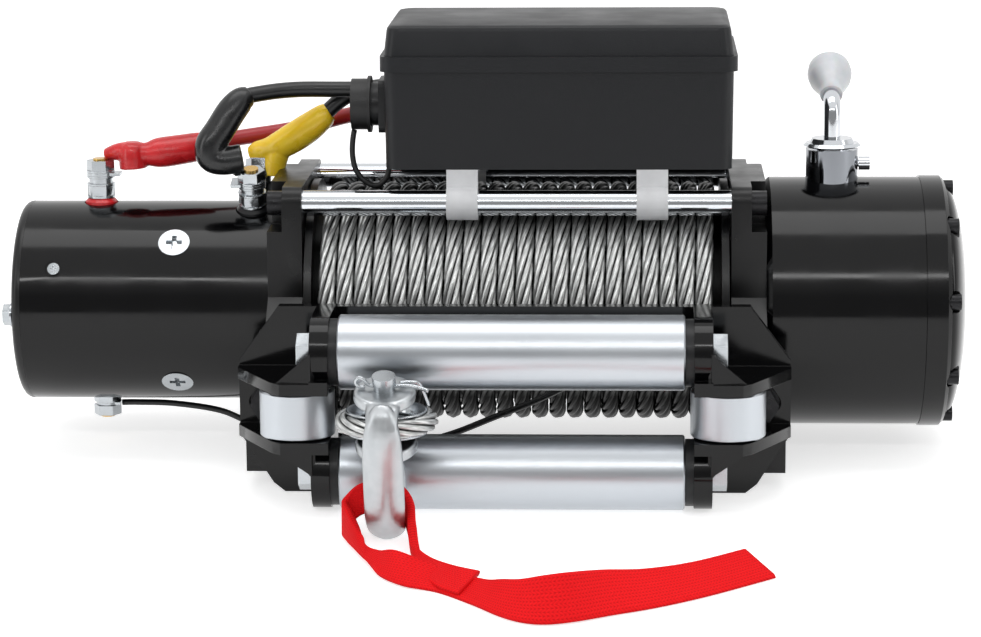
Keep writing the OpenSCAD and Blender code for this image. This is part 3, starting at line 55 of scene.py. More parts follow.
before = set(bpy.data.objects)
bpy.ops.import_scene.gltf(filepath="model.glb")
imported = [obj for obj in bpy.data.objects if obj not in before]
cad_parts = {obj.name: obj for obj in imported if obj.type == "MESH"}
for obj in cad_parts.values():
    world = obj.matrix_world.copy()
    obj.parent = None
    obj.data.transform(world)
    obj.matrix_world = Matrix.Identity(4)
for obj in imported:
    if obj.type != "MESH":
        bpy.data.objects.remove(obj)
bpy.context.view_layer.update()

MM = 0.001
SHARP_DEG = 31.0                  # an edge that turns more is shaded sharp
WELD_MM = 0.01                    # corners of loose triangles this close are one
AXIS_Z = sum(corner.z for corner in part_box("drum")) / 2     # height of the drum axis
UP = np.array([0.0, 0.0, 1.0])


# Sizes and colours that a user would change

class WinchSizes(bpy.types.PropertyGroup):
    """Sizes of the pieces that are modelled here."""

    rope_d: bpy.props.FloatProperty(
        name="Rope diameter", description="Diameter of the wire rope, over its strands",
        default=0.0092, unit="LENGTH")
    rope_lay: bpy.props.FloatProperty(
        name="Rope lay", description="Length in which a strand goes once round the rope",
        default=0.084, unit="LENGTH")
    cable_d: bpy.props.FloatProperty(
        name="Cable diameter", description="Diameter of the power cables over their jackets",
        default=0.0086, unit="LENGTH")
    earth_d: bpy.props.FloatProperty(
        name="Earth wire diameter", description="Diameter of the thin earth wire",
        default=0.0034, unit="LENGTH")
    edge: bpy.props.FloatProperty(
        name="Edge rounding", description="Radius of the broken edges of machined pieces",
        default=0.0004, unit="LENGTH")
    web_pitch: bpy.props.FloatProperty(
        name="Weave pitch", description="Length of one row of the webbing's herringbone",
        default=0.0019, unit="LENGTH")


class WinchColours(bpy.types.PropertyGroup):
    """Colours of the painted, moulded and woven pieces, as sRGB hex."""

    enamel: bpy.props.StringProperty(
        name="Enamel", description="Gloss enamel of motor, gearbox and fairlead", default="#030304")
    casting: bpy.props.StringProperty(
        name="Powder coat", description="Satin powder coat of the castings", default="#070708")
    box: bpy.props.StringProperty(
        name="Control box", description="Moulded control box", default="#0c0e12")
    red: bpy.props.StringProperty(
        name="Red boot", description="Red vinyl boot and insulator", default="#e6252b")
    yellow: bpy.props.StringProperty(
        name="Yellow boot", description="Yellow vinyl boot", default="#ffe03a")
    webbing: bpy.props.StringProperty(
        name="Webbing", description="Red webbing of the pull strap", default="#ee161b")


# Small tools for numbers, meshes and materials

def place(route):
    """Points in millimetres in the drum axis frame, as metres in the part's own frame."""
    return np.asarray(route, float) * MM + AXIS_Z * UP


def unit(vectors):
    """Vectors at length one."""
    return vectors / np.linalg.norm(vectors, axis=-1, keepdims=True)


def smooth_route(points, steps):
    """Catmull-Rom curve through points of any number of columns: each stretch is a cubic whose slope at
    a point is half the difference of the points beside it."""
    p = np.asarray(points, float)
    p = np.vstack([p[:1], p, p[-1:]])
    t = (np.arange(steps) / steps)[None, :, None]
    a, b, c, d = (q[:, None, :] for q in (p[:-3], p[1:-2], p[2:-1], p[3:]))
    curve = b + 0.5 * t * (c - a + t * (2 * a - 5 * b + 4 * c - d + t * (3 * b - a - 3 * c + d)))
    return np.vstack([curve.reshape(-1, p.shape[1]), p[-1]])


def lengths(path):
    """Length along a path at each of its points."""
    return np.append(0, np.cumsum(np.linalg.norm(np.diff(path, axis=0), axis=1)))


def sampled(path, along, wanted):
    """Points of a path at the wanted lengths, where along is the length at each of its points."""
    return np.stack([np.interp(wanted, along, column) for column in path.T], 1)


def evenly(path, step):
    """The same path with points a step apart, by length along it."""
    along = lengths(path)
    return sampled(path, along, np.linspace(0, along[-1], max(2, round(along[-1] / step) + 1)))


def carried(path, side):
    """Heading and two cross directions at each point, carried along the path without twist."""
    heading = unit(np.gradient(path, axis=0))
    sides = np.empty_like(path)
    for i, ahead in enumerate(heading):
        side = unit(side - (side @ ahead) * ahead)
        sides[i] = side
    return heading, sides, np.cross(heading, sides)


def swept(path, side, x, y):
    """Section offsets x and y, one row for the whole path or one per point, carried along it."""
    _, across, up = carried(path, np.asarray(side, float))
    return path[:, None] + x[..., None] * across[:, None] + y[..., None] * up[:, None]


class Skin:
    """Grids of points joined into one mesh, with a UV in millimetres where a pattern needs it."""

    def __init__(self):
        self.points, self.corners, self.starts, self.uvs, self.values = [], [], [], [], []
        self.count = self.loops = 0

    def _faces(self, corners, uv):
        """Adds faces with the same number of corners, given as point numbers."""
        sides = corners.shape[1]
        self.starts.append(self.loops + sides * np.arange(len(corners)))
        self.corners.append(corners.ravel())
        self.uvs.append(uv.reshape(-1, 2))
        self.loops += corners.size

    def grid(self, points, capped=True, u=None, v=None, value=None):
        """A grid of rows whose columns close round. Its first and last rows are capped with a fan about
        their middle. Faces are turned outwards by the sign of the volume that the grid holds."""
        rows, cols = points.shape[:2]
        u = np.linspace(0, 1, cols + 1) if u is None else np.asarray(u)
        v = np.linspace(0, 1, rows) if v is None else np.asarray(v)
        i, j = (n.ravel() for n in np.meshgrid(np.arange(rows - 1), np.arange(cols), indexing="ij"))
        steps = ((0, 0), (0, 1), (1, 1), (1, 0))
        quads = np.stack([(i + a) * cols + (j + b) % cols for a, b in steps], 1)
        uv = np.stack([np.stack([u[j + b], v[i + a]], 1) for a, b in steps], 1)
        flat = points.reshape(-1, 3)
        ends, extra = [], []
        if capped:
            ring = np.arange(cols)
            for row, turn in ((0, 1), (rows - 1, -1)):
                middle = rows * cols + len(extra)
                extra.append(points[row].mean(0))
                fan = np.stack([ring + row * cols, np.full(cols, middle), (ring + 1) % cols + row * cols], 1)
                ends.append(fan[:, ::turn])
        flat = np.vstack([flat, *[e[None] for e in extra]])
        tris = np.vstack([quads[:, [0, 1, 2]], quads[:, [0, 2, 3]], *ends])
        a, b, c = (flat[tris[:, k]] for k in range(3))
        inward = np.einsum("ij,ij->i", a, np.cross(b, c)).sum() < 0
        way = -1 if inward else 1
        self._faces(quads[:, ::way] + self.count, uv[:, ::way])
        for fan in ends:
            self._faces(fan[:, ::way] + self.count, np.zeros((len(fan), 3, 2)))
        level = np.zeros(len(flat)) if value is None else np.append(
            np.broadcast_to(value, (rows, cols)).ravel(), np.zeros(len(extra)))
        self.values.append(level)
        self.points.append(flat)
        self.count += len(flat)
        return self

    def piece(self, name, material, body, slot, replaces=()):
        """Puts the grids into one smooth mesh object that rides on a body."""
        mesh = bpy.data.meshes.new(name)
        points, corners = np.vstack(self.points), np.concatenate(self.corners)
        mesh.vertices.add(len(points))
        mesh.vertices.foreach_set("co", points.astype(np.float32).ravel())
        mesh.loops.add(len(corners))
        mesh.loops.foreach_set("vertex_index", corners.astype(np.int32))
        mesh.polygons.add(sum(map(len, self.starts)))
        mesh.polygons.foreach_set("loop_start", np.concatenate(self.starts).astype(np.int32))
        layer = mesh.uv_layers.new(name="UVMap")
        layer.uv.foreach_set("vector", np.vstack(self.uvs).astype(np.float32).ravel())
        level = mesh.attributes.new("level", "FLOAT", "POINT")
        level.data.foreach_set("value", np.concatenate(self.values).astype(np.float32))
        mesh.update(calc_edges=True)
        mesh.validate()
        mesh.polygons.foreach_set("use_smooth", np.ones(len(mesh.polygons), bool))
        mesh.materials.append(material)
        made = bpy.data.objects.new(name, mesh)
        bpy.context.scene.collection.objects.link(made)
        return settle(made, body, replaces)


def settle(made, body, replaces=()):
    """Hangs a piece on the body it rides on and hides the CAD pieces it stands for. A blended piece has no
    body.
    """
    if body:
        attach(made, body)
    if replaces:
        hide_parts(*replaces)
    return made


def linear(colour):
    """sRGB hex to linear RGBA."""
    parts = np.array([int(colour[i:i + 2], 16) for i in (1, 3, 5)]) / 255
    return (*np.where(parts <= 0.04045, parts / 12.92, ((parts + 0.055) / 1.055) ** 2.4), 1.0)


def add(tree, kind, sockets=None, **settings):
    """Adds one node. Settings are its properties, and sockets give each input a value or a link."""
    node = tree.nodes.new("ShaderNode" + kind)
    for key, value in settings.items():
        setattr(node, key, value)
    for key, value in (sockets or {}).items():
        if isinstance(value, bpy.types.NodeSocket):
            tree.links.new(value, node.inputs[key])
        else:
            node.inputs[key].default_value = value
    return node


def surface(name, colour, roughness, metallic=0.0, **sockets):
    """A Principled surface with its node tree and its shader."""
    material = bpy.data.materials.new(name)
    material.use_nodes = True
    tree = material.node_tree
    shader = tree.nodes["Principled BSDF"]
    values = {"Base Color": linear(colour), "Roughness": roughness, "Metallic": metallic}
    values.update({key.replace("_", " "): value for key, value in sockets.items()})
    for key, value in values.items():
        shader.inputs[key].default_value = value
    return material, tree, shader


def patches(tree, size_mm, detail=3.0, stretch=(1.0, 1.0, 1.0)):
    """Soft noise on the piece's own coordinates. Its patches are size_mm across before the stretch."""
    coords = add(tree, "TexCoord").outputs["Object"]
    drawn = add(tree, "Mapping", {"Vector": coords, "Scale": stretch}).outputs[0]
    noise = {"Vector": drawn, "Scale": 1 / (size_mm * MM), "Detail": detail}
    return add(tree, "TexNoise", noise).outputs[0]


def spread(tree, factor, low, high, start=0.35, end=0.65):
    """A factor's middle range, drawn out from low to high."""
    ends = {"Value": factor, "From Min": start, "From Max": end, "To Min": low, "To Max": high}
    return add(tree, "MapRange", ends).outputs[0]


def between(tree, factor, dark, light):
    """A colour between two hex colours."""
    sockets = {0: factor, 6: linear(dark), 7: linear(light)}
    return add(tree, "Mix", sockets, data_type="RGBA").outputs[2]


def vary_gloss(tree, shader, factor, low, high):
    """Lets the roughness follow a factor's middle range, from low to high."""
    tree.links.new(spread(tree, factor, low, high), shader.inputs["Roughness"])


def vary_colour(tree, shader, factor, dark, light):
    """Lets the colour follow a factor between two hex colours."""
    tree.links.new(between(tree, factor, dark, light), shader.inputs["Base Color"])


def broken_edges(tree, shader):
    """Rounds the shading of sharp edges by the radius that deburring leaves."""
    rounded = add(tree, "Bevel", {"Radius": bpy.context.scene.winch_sizes.edge}, samples=4)
    tree.links.new(rounded.outputs[0], shader.inputs["Normal"])


def relief(tree, shader, height, depth_mm):
    """Raises the surface by depth_mm where the height is one."""
    sockets = {"Height": height, "Distance": depth_mm * MM}
    if shader.inputs["Normal"].is_linked:
        sockets["Normal"] = shader.inputs["Normal"].links[0].from_socket
    tree.links.new(add(tree, "Bump", sockets).outputs[0], shader.inputs["Normal"])


# Finishes, each named for the real one

def gloss_enamel():
    """Enamel baked on drawn steel: deep gloss with a faint orange peel."""
    colour = bpy.context.scene.winch_colours.enamel
    material, tree, shader = surface("Gloss enamel", colour, 0.13, Specular_IOR_Level=0.3)
    broken_edges(tree, shader)
    vary_gloss(tree, shader, patches(tree, 30), 0.09, 0.17)
    relief(tree, shader, patches(tree, 1.6, 1.0), 0.004)     # orange peel, 1.6 mm from crest to crest
    return material


def powder_coat():
    """Powder coat on cast aluminium: satin, with the fine pimples of the coat over a soft casting."""
    colour = bpy.context.scene.winch_colours.casting
    material, tree, shader = surface("Satin powder coat", colour, 0.32, Specular_IOR_Level=0.35)
    broken_edges(tree, shader)
    vary_gloss(tree, shader, patches(tree, 18), 0.27, 0.37)
    relief(tree, shader, patches(tree, 6.0, 2.0), 0.02)      # the casting's skin
    relief(tree, shader, patches(tree, 0.9, 1.0), 0.008)     # pimples of the coat, drawn near 1 mm to show
    return material


def bright_zinc():
    """Bright zinc plate on turned steel: pale blue grey, clouded by the bath."""
    material, tree, shader = surface("Bright zinc plate", "#c9ced3", 0.2, 1.0)
    broken_edges(tree, shader)
    clouds = patches(tree, 7)
    vary_colour(tree, shader, clouds, "#a4a9ad", "#c3c7ca")
    vary_gloss(tree, shader, clouds, 0.16, 0.27)
    return material


def rolled_zinc(axis):
    """Zinc plate on a roller's drawn tube: satin and even, slightly clouded along its axis."""
    material, tree, shader = surface("Zinc plated tube " + axis, "#bcc1c6", 0.34, 1.0)
    clouds = patches(tree, 45, 1.0, [0.4, 1.0, 1.0] if axis == "X" else [1.0, 1.0, 0.4])
    vary_colour(tree, shader, clouds, "#b6bbc1", "#c4c8cc")
    vary_gloss(tree, shader, clouds, 0.3, 0.34)
    return material


def forged_zinc():
    """Zinc plate on a drop forging: grey, dimpled by scale, brighter where it was rubbed."""
    material, tree, shader = surface("Zinc plated forging", "#c9cccf", 0.3, 1.0)
    clouds = patches(tree, 9, 2.0)
    vary_colour(tree, shader, clouds, "#a3a7aa", "#c6c9cb")
    vary_gloss(tree, shader, clouds, 0.3, 0.42)
    relief(tree, shader, patches(tree, 3.0, 3.0), 0.11)      # dimples that the forging scale leaves
    return material


def polished_chrome(name="Polished chrome", colour="#d2d5d9"):
    """Chrome plate on ground steel: a mirror with a few faint handling marks."""
    material, tree, shader = surface(name, colour, 0.07, 1.0)
    vary_gloss(tree, shader, patches(tree, 14, 4.0), 0.04, 0.12)
    return material


def rope_steel(wound=False):
    """Galvanised wires, light in streaks a millimetre wide, with painted shade that turns the grooves
    between the strands black and leaves their crowns light. The wound rope also gets painted shade, black
    under the drum and on top, and keeps the light colour only in a band in front."""
    name = "Wound wire rope with painted shade" if wound else "Galvanised wire rope"
    material, tree, shader = surface(name, "#b2b4b5", 0.33, 0.7, Specular_IOR_Level=0.2)
    level = add(tree, "Attribute", attribute_name="level").outputs["Fac"]
    uv = add(tree, "TexCoord").outputs["UV"]
    along = add(tree, "Mapping", {"Vector": uv, "Scale": (1.0, 0.12, 1.0)}).outputs[0]
    wires = add(tree, "TexNoise", {"Vector": along, "Scale": 1.1, "Detail": 2.0}).outputs[0]
    # painted shade: the grooves between the strands go near black (#070707), the crowns keep the light wire
    # colour
    crown = spread(tree, level, 0.0, 1.0, 0.22, 0.72)
    light = between(tree, spread(tree, wires, 0.0, 1.0), "#a5a7a6", "#e4e5e4")
    if wound:
        # painted shade by height: the wound rope goes black under the drum and on top, and stays light only
        # in a band in front
        height = add(tree, "SeparateXYZ", {0: add(tree, "TexCoord").outputs["Object"]}).outputs[2]
        under = spread(tree, height, 0.0, 1.0, *(AXIS_Z + MM * rise for rise in PAINTED_SHADE_BELOW))
        over = spread(tree, height, 1.0, 0.08, *(AXIS_Z + MM * rise for rise in PAINTED_SHADE_ABOVE))
        unshaded_band = add(tree, "Math", {0: under, 1: over}, operation="MULTIPLY").outputs[0]
        crown = add(tree, "Math", {0: crown, 1: unshaded_band}, operation="MULTIPLY").outputs[0]
    painted_shade_colour = add(tree, "Mix", {0: crown, 6: linear("#070707"), 7: light}, data_type="RGBA").outputs[2]
    tree.links.new(painted_shade_colour, shader.inputs["Base Color"])
    relief(tree, shader, wires, 0.1)
    return material


def machined_brass():
    """Turned brass of studs, drum bushes and contactors: warm yellow, unevenly polished."""
    material, tree, shader = surface("Machined brass", "#d2ac62", 0.28, 1.0)
    vary_gloss(tree, shader, patches(tree, 3), 0.2, 0.36)
    return material


def enamelled_copper():
    """Copper of the windings, the commutator and the brush holder: brown, half matt."""
    material, tree, shader = surface("Enamelled copper", "#a4552c", 0.42, 0.9)
    clouds = patches(tree, 2.5, 2.0)
    vary_colour(tree, shader, clouds, "#83411f", "#b96a3c")
    relief(tree, shader, clouds, 0.1)
    return material


def plain_steel():
    """Oiled steel of shafts, laminations and the sprung latch: dark grey."""
    material, tree, shader = surface("Oiled steel", "#63676b", 0.36, 1.0)
    clouds = patches(tree, 8, 4.0)
    vary_colour(tree, shader, clouds, "#4a4d50", "#7b7f83")
    vary_gloss(tree, shader, clouds, 0.28, 0.46)
    return material


def black_oxide():
    """Black oxide on socket screws: near black metal with an oily sheen."""
    material, tree, shader = surface("Black oxide", "#1c1c1e", 0.34, 0.6)
    vary_gloss(tree, shader, patches(tree, 3), 0.26, 0.42)
    return material


def soft_vinyl(name, colour, dark):
    """Dipped vinyl: soft gloss, a little uneven, darker where it is thin and stretched."""
    material, tree, shader = surface(name, colour, 0.24, Subsurface_Weight=0.04, Subsurface_Scale=0.003)
    folds = patches(tree, 12, 2.0)
    vary_colour(tree, shader, folds, dark, colour)
    vary_gloss(tree, shader, folds, 0.2, 0.32)
    relief(tree, shader, patches(tree, 5, 2.0), 0.12)
    return material


def red_vinyl():
    """Dipped vinyl of the red boot and of the insulating bush."""
    return soft_vinyl("Red vinyl", bpy.context.scene.winch_colours.red, "#a3161b")


def yellow_vinyl():
    """Dipped vinyl of the yellow boot."""
    return soft_vinyl("Yellow vinyl", bpy.context.scene.winch_colours.yellow, "#f7c31c")


def black_vinyl():
    """Dipped vinyl of the black boot."""
    return soft_vinyl("Black vinyl", "#121315", "#0b0c0d")


def jacket(name, colour):
    """Extruded cable jacket: even, with the faintest unevenness of its surface."""
    material, tree, shader = surface(name, colour, 0.33)
    vary_gloss(tree, shader, patches(tree, 10), 0.28, 0.4)
    relief(tree, shader, patches(tree, 1.2, 1.0), 0.01)
    return material


def moulded_abs():
    """Spark-textured ABS of the control box: charcoal, matt, with a fine even grain."""
    colour = bpy.context.scene.winch_colours.box
    material, tree, shader = surface("Textured ABS", colour, 0.42, Specular_IOR_Level=0.35)
    vary_gloss(tree, shader, patches(tree, 26, 4.0), 0.38, 0.47)
    relief(tree, shader, patches(tree, 0.8, 1.0), 0.035)     # spark grain, drawn near 1 mm to show
    return material


def moulded_nylon():
    """Moulded nylon of socket, bushes and washers: black with a soft sheen."""
    material, tree, shader = surface("Moulded nylon", "#111214", 0.4, Specular_IOR_Level=0.35)
    relief(tree, shader, patches(tree, 1.0, 1.0), 0.02)
    vary_gloss(tree, shader, patches(tree, 9), 0.34, 0.48)
    return material


def soft_rubber():
    """Moulded rubber of dust cap and tether: black and matt."""
    material, tree, shader = surface("Moulded rubber", "#0d0d0e", 0.5)
    relief(tree, shader, patches(tree, 1.4, 2.0), 0.03)
    return material


def coated_strap():
    """Pale grey plastic coat on the steel straps that hold the box."""
    material, tree, shader = surface("Grey coated strap", "#c9cacc", 0.38)
    vary_colour(tree, shader, patches(tree, 9), "#bcbdbf", "#d6d7d9")
    relief(tree, shader, patches(tree, 1.1, 1.0), 0.015)
    return material


def frosted_knob():
    """Frosted grey plastic of the clutch knob: pale, soft and slightly see-through."""
    material, tree, shader = surface("Frosted plastic", "#c6c9cd", 0.3, Subsurface_Weight=0.25,
                                     Subsurface_Scale=0.006, Coat_Weight=0.3, Coat_Roughness=0.15)
    vary_colour(tree, shader, patches(tree, 8), "#b9bcc1", "#d4d7da")
    return material


def red_webbing():
    """Woven polypropylene webbing: rows of small slanting floats that change side like a herringbone."""
    sizes, colour = bpy.context.scene.winch_sizes, bpy.context.scene.winch_colours.webbing
    material, tree, shader = surface("Woven webbing", colour, 0.7, Specular_IOR_Level=0.12)
    uv = add(tree, "SeparateXYZ", {0: add(tree, "TexCoord").outputs["UV"]})
    across, along = uv.outputs[0], uv.outputs[1]
    pitch = sizes.web_pitch / MM
    fold = add(tree, "Math", {0: across, 1: pitch}, operation="PINGPONG").outputs[0]
    slant = add(tree, "Math", {0: along, 1: fold}, operation="ADD").outputs[0]
    phase = add(tree, "Math", {0: slant, 1: 2 * math.pi / pitch}, operation="MULTIPLY").outputs[0]
    floats = add(tree, "Math", {0: phase}, operation="SINE").outputs[0]
    edge_phase = add(tree, "Math", {0: across, 1: math.pi / pitch}, operation="MULTIPLY").outputs[0]
    rows = add(tree, "Math", {0: edge_phase}, operation="SINE").outputs[0]
    valley = add(tree, "Math", {0: rows}, operation="ABSOLUTE").outputs[0]
    height = add(tree, "Math", {0: floats, 1: 0.5, 2: valley}, operation="MULTIPLY_ADD").outputs[0]
    # painted shade: the colour darkens to #c40d12 where the weave lies low
    shade = spread(tree, height, 0.0, 1.0, -0.6, 0.8)
    vary_colour(tree, shader, shade, "#c40d12", colour)
    relief(tree, shader, height, 0.1)
    return material


MADE = {}


def finish(maker, *choice):
    """The material of a maker function, made once."""
    if (maker, choice) not in MADE:
        MADE[maker, choice] = maker(*choice)
    return MADE[maker, choice]


def shading_by_angle():
    """Node group that joins loose triangles and shades smoothly across every edge that turns little."""
    group = bpy.data.node_groups.new("Shading by angle", "GeometryNodeTree")
    for way in ("INPUT", "OUTPUT"):
        group.interface.new_socket("Geometry", in_out=way, socket_type="NodeSocketGeometry")
    kinds = ("NodeGroupInput", "GeometryNodeMergeByDistance", "GeometryNodeSetMeshNormal", "NodeGroupOutput",
             "GeometryNodeInputMeshEdgeAngle", "FunctionNodeCompare")
    start, weld, normal, end, turn, sharp = (group.nodes.new(kind) for kind in kinds)
    weld.inputs["Distance"].default_value = WELD_MM * MM
    sharp.inputs["B"].default_value = math.radians(SHARP_DEG)
    links = ((start, weld, "Geometry"), (weld, normal, "Mesh"), (turn, sharp, "A"),
             (sharp, normal, "Edge Sharpness"), (normal, end, 0))
    for source, target, socket in links:
        group.links.new(source.outputs[0], target.inputs[socket])
    return group


def coat(material, *nodes):
    """Gives CAD pieces their finish and their shading. Their own meshes stay as they are."""
    group = bpy.data.node_groups.get("Shading by angle") or shading_by_angle()
    for name in nodes:
        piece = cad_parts[name]
        for slot in piece.material_slots:
            slot.material = material
        piece.modifiers.new("Shading by angle", "NODES").node_group = group


# Routes of rope and cables, repeated from the part's own source, in millimetres

HOOK_X = -61.0                    # the rope's eye along the drum
LAYER_R = 59.9                    # outer layer of rope, to the middle of the rope
LEAD_R = 69.7                     # last quarter turn, which lies over the layer
ROPE_TURNS = 21.75
ROPE_STEPS = 100                  # points in a turn
PAINTED_SHADE_BELOW = (-44.0, -20.0)       # painted shade: the wound rope is black under the first height, left light over the second
PAINTED_SHADE_ABOVE = (44.0, 58.0)         # and left light under this, painted black over that
ROPE_START = 0.25                 # part of a turn before the layer first comes to the front
ROPE_SPAN = 205.9                 # travel of the layer along the drum
EYE_R = 21.5
EYE_Y = -163.6
EYE_Z = -30.0
STRAND_GAP = 5.1                  # half the distance between the eye's two strands
LEAD_RISE = 13.7
LEAD_RUN = [[-66, -60, -57], [-66, -84, -51], [-66, -104, -45.5], [-66, -120, -39.5], [-67, -135, -33.5]]
LEAD_TAIL = [[-55, -135, -33.5], [-56, -120, -39.5], [-56, -104, -45.5], [-56, -90, -49.4]]

BLACK_ROUTE = [[-62, 2, 115], [-78, 2, 115], [-100, 3, 115], [-121, 2, 115], [-138, -5, 114],
               [-150, -12, 111.5], [-158, -19, 103], [-163, -23, 91], [-162, -24, 80],
               [-157, -21.5, 72.5]]
YELLOW_ROUTE = [[-62, 14, 115], [-76, 14, 115], [-90, 13, 112], [-99, 12, 107], [-108, 12, 99],
                [-120, 15, 90.5], [-131, 19, 84.5], [-141, 20.5, 81.5]]
RED_ROUTE = [[-62, 15, 101], [-76, 15, 101], [-84, 17, 100.6], [-98, 26, 97], [-124, 37, 89],
             [-153, 32, 85], [-176, 19, 83], [-188, 10, 81.5], [-203, 3, 81.5], [-219, 0, 80.5]]
EARTH_ROUTE = [[-219.7, 0, -57.9], [-211, -1, -57.6], [-190, -4, -57.6], [-165, -4, -61.5],
               [-145, -4, -69.5], [-122, -4, -71.8], [-100, -14, -73], [-78, -34, -73],
               [-61, -46, -71], [-36, -58, -62], [-13, -62, -52], [12, -70, -40], [42, -77, -24],
               [75, -79, -11], [98, -77, -10], [109, -72, -14]]
BLACK_COVER_AT, YELLOW_COVER_AT, RED_COVER_AT = 5, 4, 6      # route point where a lead enters its boot

# Boots: shells through rows of x, y, z and two half widths, and how many rows each is open inwards
BLACK_SHELLS = [([[-145, -9.5, 113, 5.4, 5.4], [-149, -12, 111, 7.2, 7.2], [-154, -15, 105.5, 8, 8],
                  [-160, -18.5, 96, 8.1, 8.1], [-165, -21, 88, 8.2, 8.2], [-164.5, -21.7, 81.5, 7.8, 7.8],
                  [-158, -21, 79.5, 7.2, 7.6], [-148, -20, 81, 6.6, 7.6]], 6),
                ([[-160, -21, 81, 3, 3], [-155, -20.5, 78.5, 3.4, 3.4], [-149.5, -19, 73, 3.3, 3.3]], 0)]
YELLOW_SHELLS = [([[-103, 11.6, 101.5, 4.8, 4.8], [-106.5, 12, 99.5, 6.6, 6.6], [-115, 13.5, 93, 8, 8],
                   [-124, 15.5, 87, 8.2, 8.2], [-132, 17, 82.5, 7.6, 7.6], [-139, 18.8, 80, 6.4, 6.2],
                   [-145, 20, 78.5, 5.6, 5.6], [-149, 20.5, 77.5, 3.4, 3.4]], 0),
                 ([[-129, 17, 83, 6, 5.4], [-133, 17.8, 78, 7.6, 6.4], [-135, 18, 72, 7.2, 6.4],
                   [-135.5, 18, 66, 6.8, 6]], 8)]
RED_SHELLS = [([[-171, 16.5, 83.2, 5, 5], [-174.5, 15, 82.4, 7.6, 7.6], [-186, 10.5, 81, 8.2, 8.2],
                [-197, 6.6, 80, 8.1, 8.1], [-204, 4.6, 79.6, 6.4, 6.2], [-211, 4, 80.6, 6.4, 6],
                [-219, 5, 80.6, 5.4, 4.8], [-226, 7, 79, 3.2, 3.2]], 0),
              ([[-211, 4, 86.5, 3.6, 3.4], [-211, 4, 84.6, 7, 6.4], [-211, 4, 80, 8.6, 7.4],
                [-210.6, 4, 72, 8.8, 7.6]], 9)]
BOOT_WALL = 1.5
BOOT_STEPS, BOOT_COLUMNS = 6, 40      # points from one row to the next, and round the shell
BOOT_VOXEL, BOOT_ROUNDS = 0.55, 5     # mesh width and smoothing of the joined shells

# Tether of the dust cap, bent in a loop between the heights of its two ends
TETHER = [[-87.5, -20, 96.2], [-88.5, -20.5, 90], [-88.6, -21, 82], [-86.5, -22, 74], [-81, -22.5, 68],
          [-75, -22, 66.5], [-70.5, -21, 70.5], [-69.2, -20, 75.5], [-69, -20, 79]]
TETHER_D = 3.0

# Cotter pin in the clevis frame: one bent wire with an eye, and its second leg
COTTER = [[[-9.5, 0, -0.6], [-12.5, 0, -0.4], [-14, 0, 2], [-12.5, 0, 4.4], [-10, 0, 3.4], [-8, 0, 0.8],
           [-5, 0, 0], [6, 0, 0], [12, 1, 0.6], [17, 2, 0.2], [22, 4, -0.6]],
          [[7.5, -2.6, 0], [12, -3.4, 0.2], [16.7, -4, -1], [19, -4, -6], [21.5, -3, -13]]]
COTTER_R = 1.0
COTTER_UP = 19.5                      # height of the cotter pin on the clevis pin

# The pull strap: its lower and its upper edge, from the seam on the hook's right, through the bowl
# and round its left, to the slanted end of the tail
STRAP_RAILS = [[-20, -266, -90.2, -11, -243, -85.4], [-31, -255, -89.6, -24, -232, -85.9],
               [-40, -232, -89.4, -37, -214, -87], [-43, -212, -89.4, -44.5, -203, -84.5],
               [-46, -193, -88.4, -47.5, -186, -76.5], [-48.8, -176, -84.5, -49, -172, -69.5],
               [-53, -169, -78, -53, -167, -63], [-61, -168, -76, -61, -166, -62],
               [-74, -166, -78, -74, -164, -62], [-82, -169, -86.5, -82, -167, -69],
               [-78.5, -184, -87.6, -79, -177, -73], [-72, -200, -88.6, -74, -189, -79],
               [-66, -217, -89.4, -69.5, -199, -84.5], [-59.8, -234.7, -90.4, -61.7, -211, -84],
               [-47.2, -249, -91.2, -51.3, -226, -80.2], [-31, -256.3, -91.8, -28, -232, -88.2],
               [-14, -273.8, -92.7, -9, -251, -87], [0.2, -290.9, -93.6, 1, -270, -81.5],
               [11.6, -299.4, -94.1, 10, -282, -78], [22.7, -301.5, -94.2, 21, -290, -73.9],
               [35.8, -297.3, -94, 33, -288, -72.8], [53.5, -287.4, -93.5, 48, -271, -76.4],
               [73.5, -276.5, -93, 67, -256, -80.1], [98.2, -259.3, -92.1, 90, -237, -82],
               [130.3, -232.4, -90.7, 115.4, -210, -82.9]]
STRAP_W = 25.0
STRAP_T = 2.4
STRAP_ROWS, STRAP_COLUMNS = 300, 21
STRAP_BUNCHED = 1.9                   # most that the bowl thickens the band

GROUND_Z = -85.35                     # the ground under the fairlead's ears
GROUND_GAP = 0.4                      # room between it and the floor
GROUND_RISE = 0.052                   # its rise towards the back feet
GROUND_Y = -122.0

PIN_Y = -171.0                        # the clevis frame: +Z up the pin, -Y forward
PIN_Z = -28.0
PIN_LEAN = 17.0                       # degrees that the hook hangs forward and down
SHANK_V = 25.0                        # the hook's shank, forward of the pin
BOWL_V, BOWL_W, BOWL_R = 6.5, -37.0, 18.5
HOOK_HALF_W = 10.2                    # at its widest
HOOK_VOXEL, HOOK_ROUNDS = 0.5, 6      # mesh width and smoothing of the forging
EAR_R, EAR_T, EAR_GAP = 15.5, 6.5, 22.0     # the two ears: radius, thickness and room between
EAR_RIM = 2.0                         # rounding of their rims
CHEEK_X, CHEEK_HALF_T = 8.1, 0.9      # cheeks that carry the latch, behind the shank
CHEEK_W, LATCH_V = -29.0, 14.0        # height of the latch pin, and its distance forward
LATCH_PIN_R = 1.1

FLOOR_GLOW = 0.62                     # with the light on it, this takes the floor to white
AMBIENT = 0.6                         # the world's strength as a light
WORLD_FRONT = 0.34                    # its strength in reflections from in front


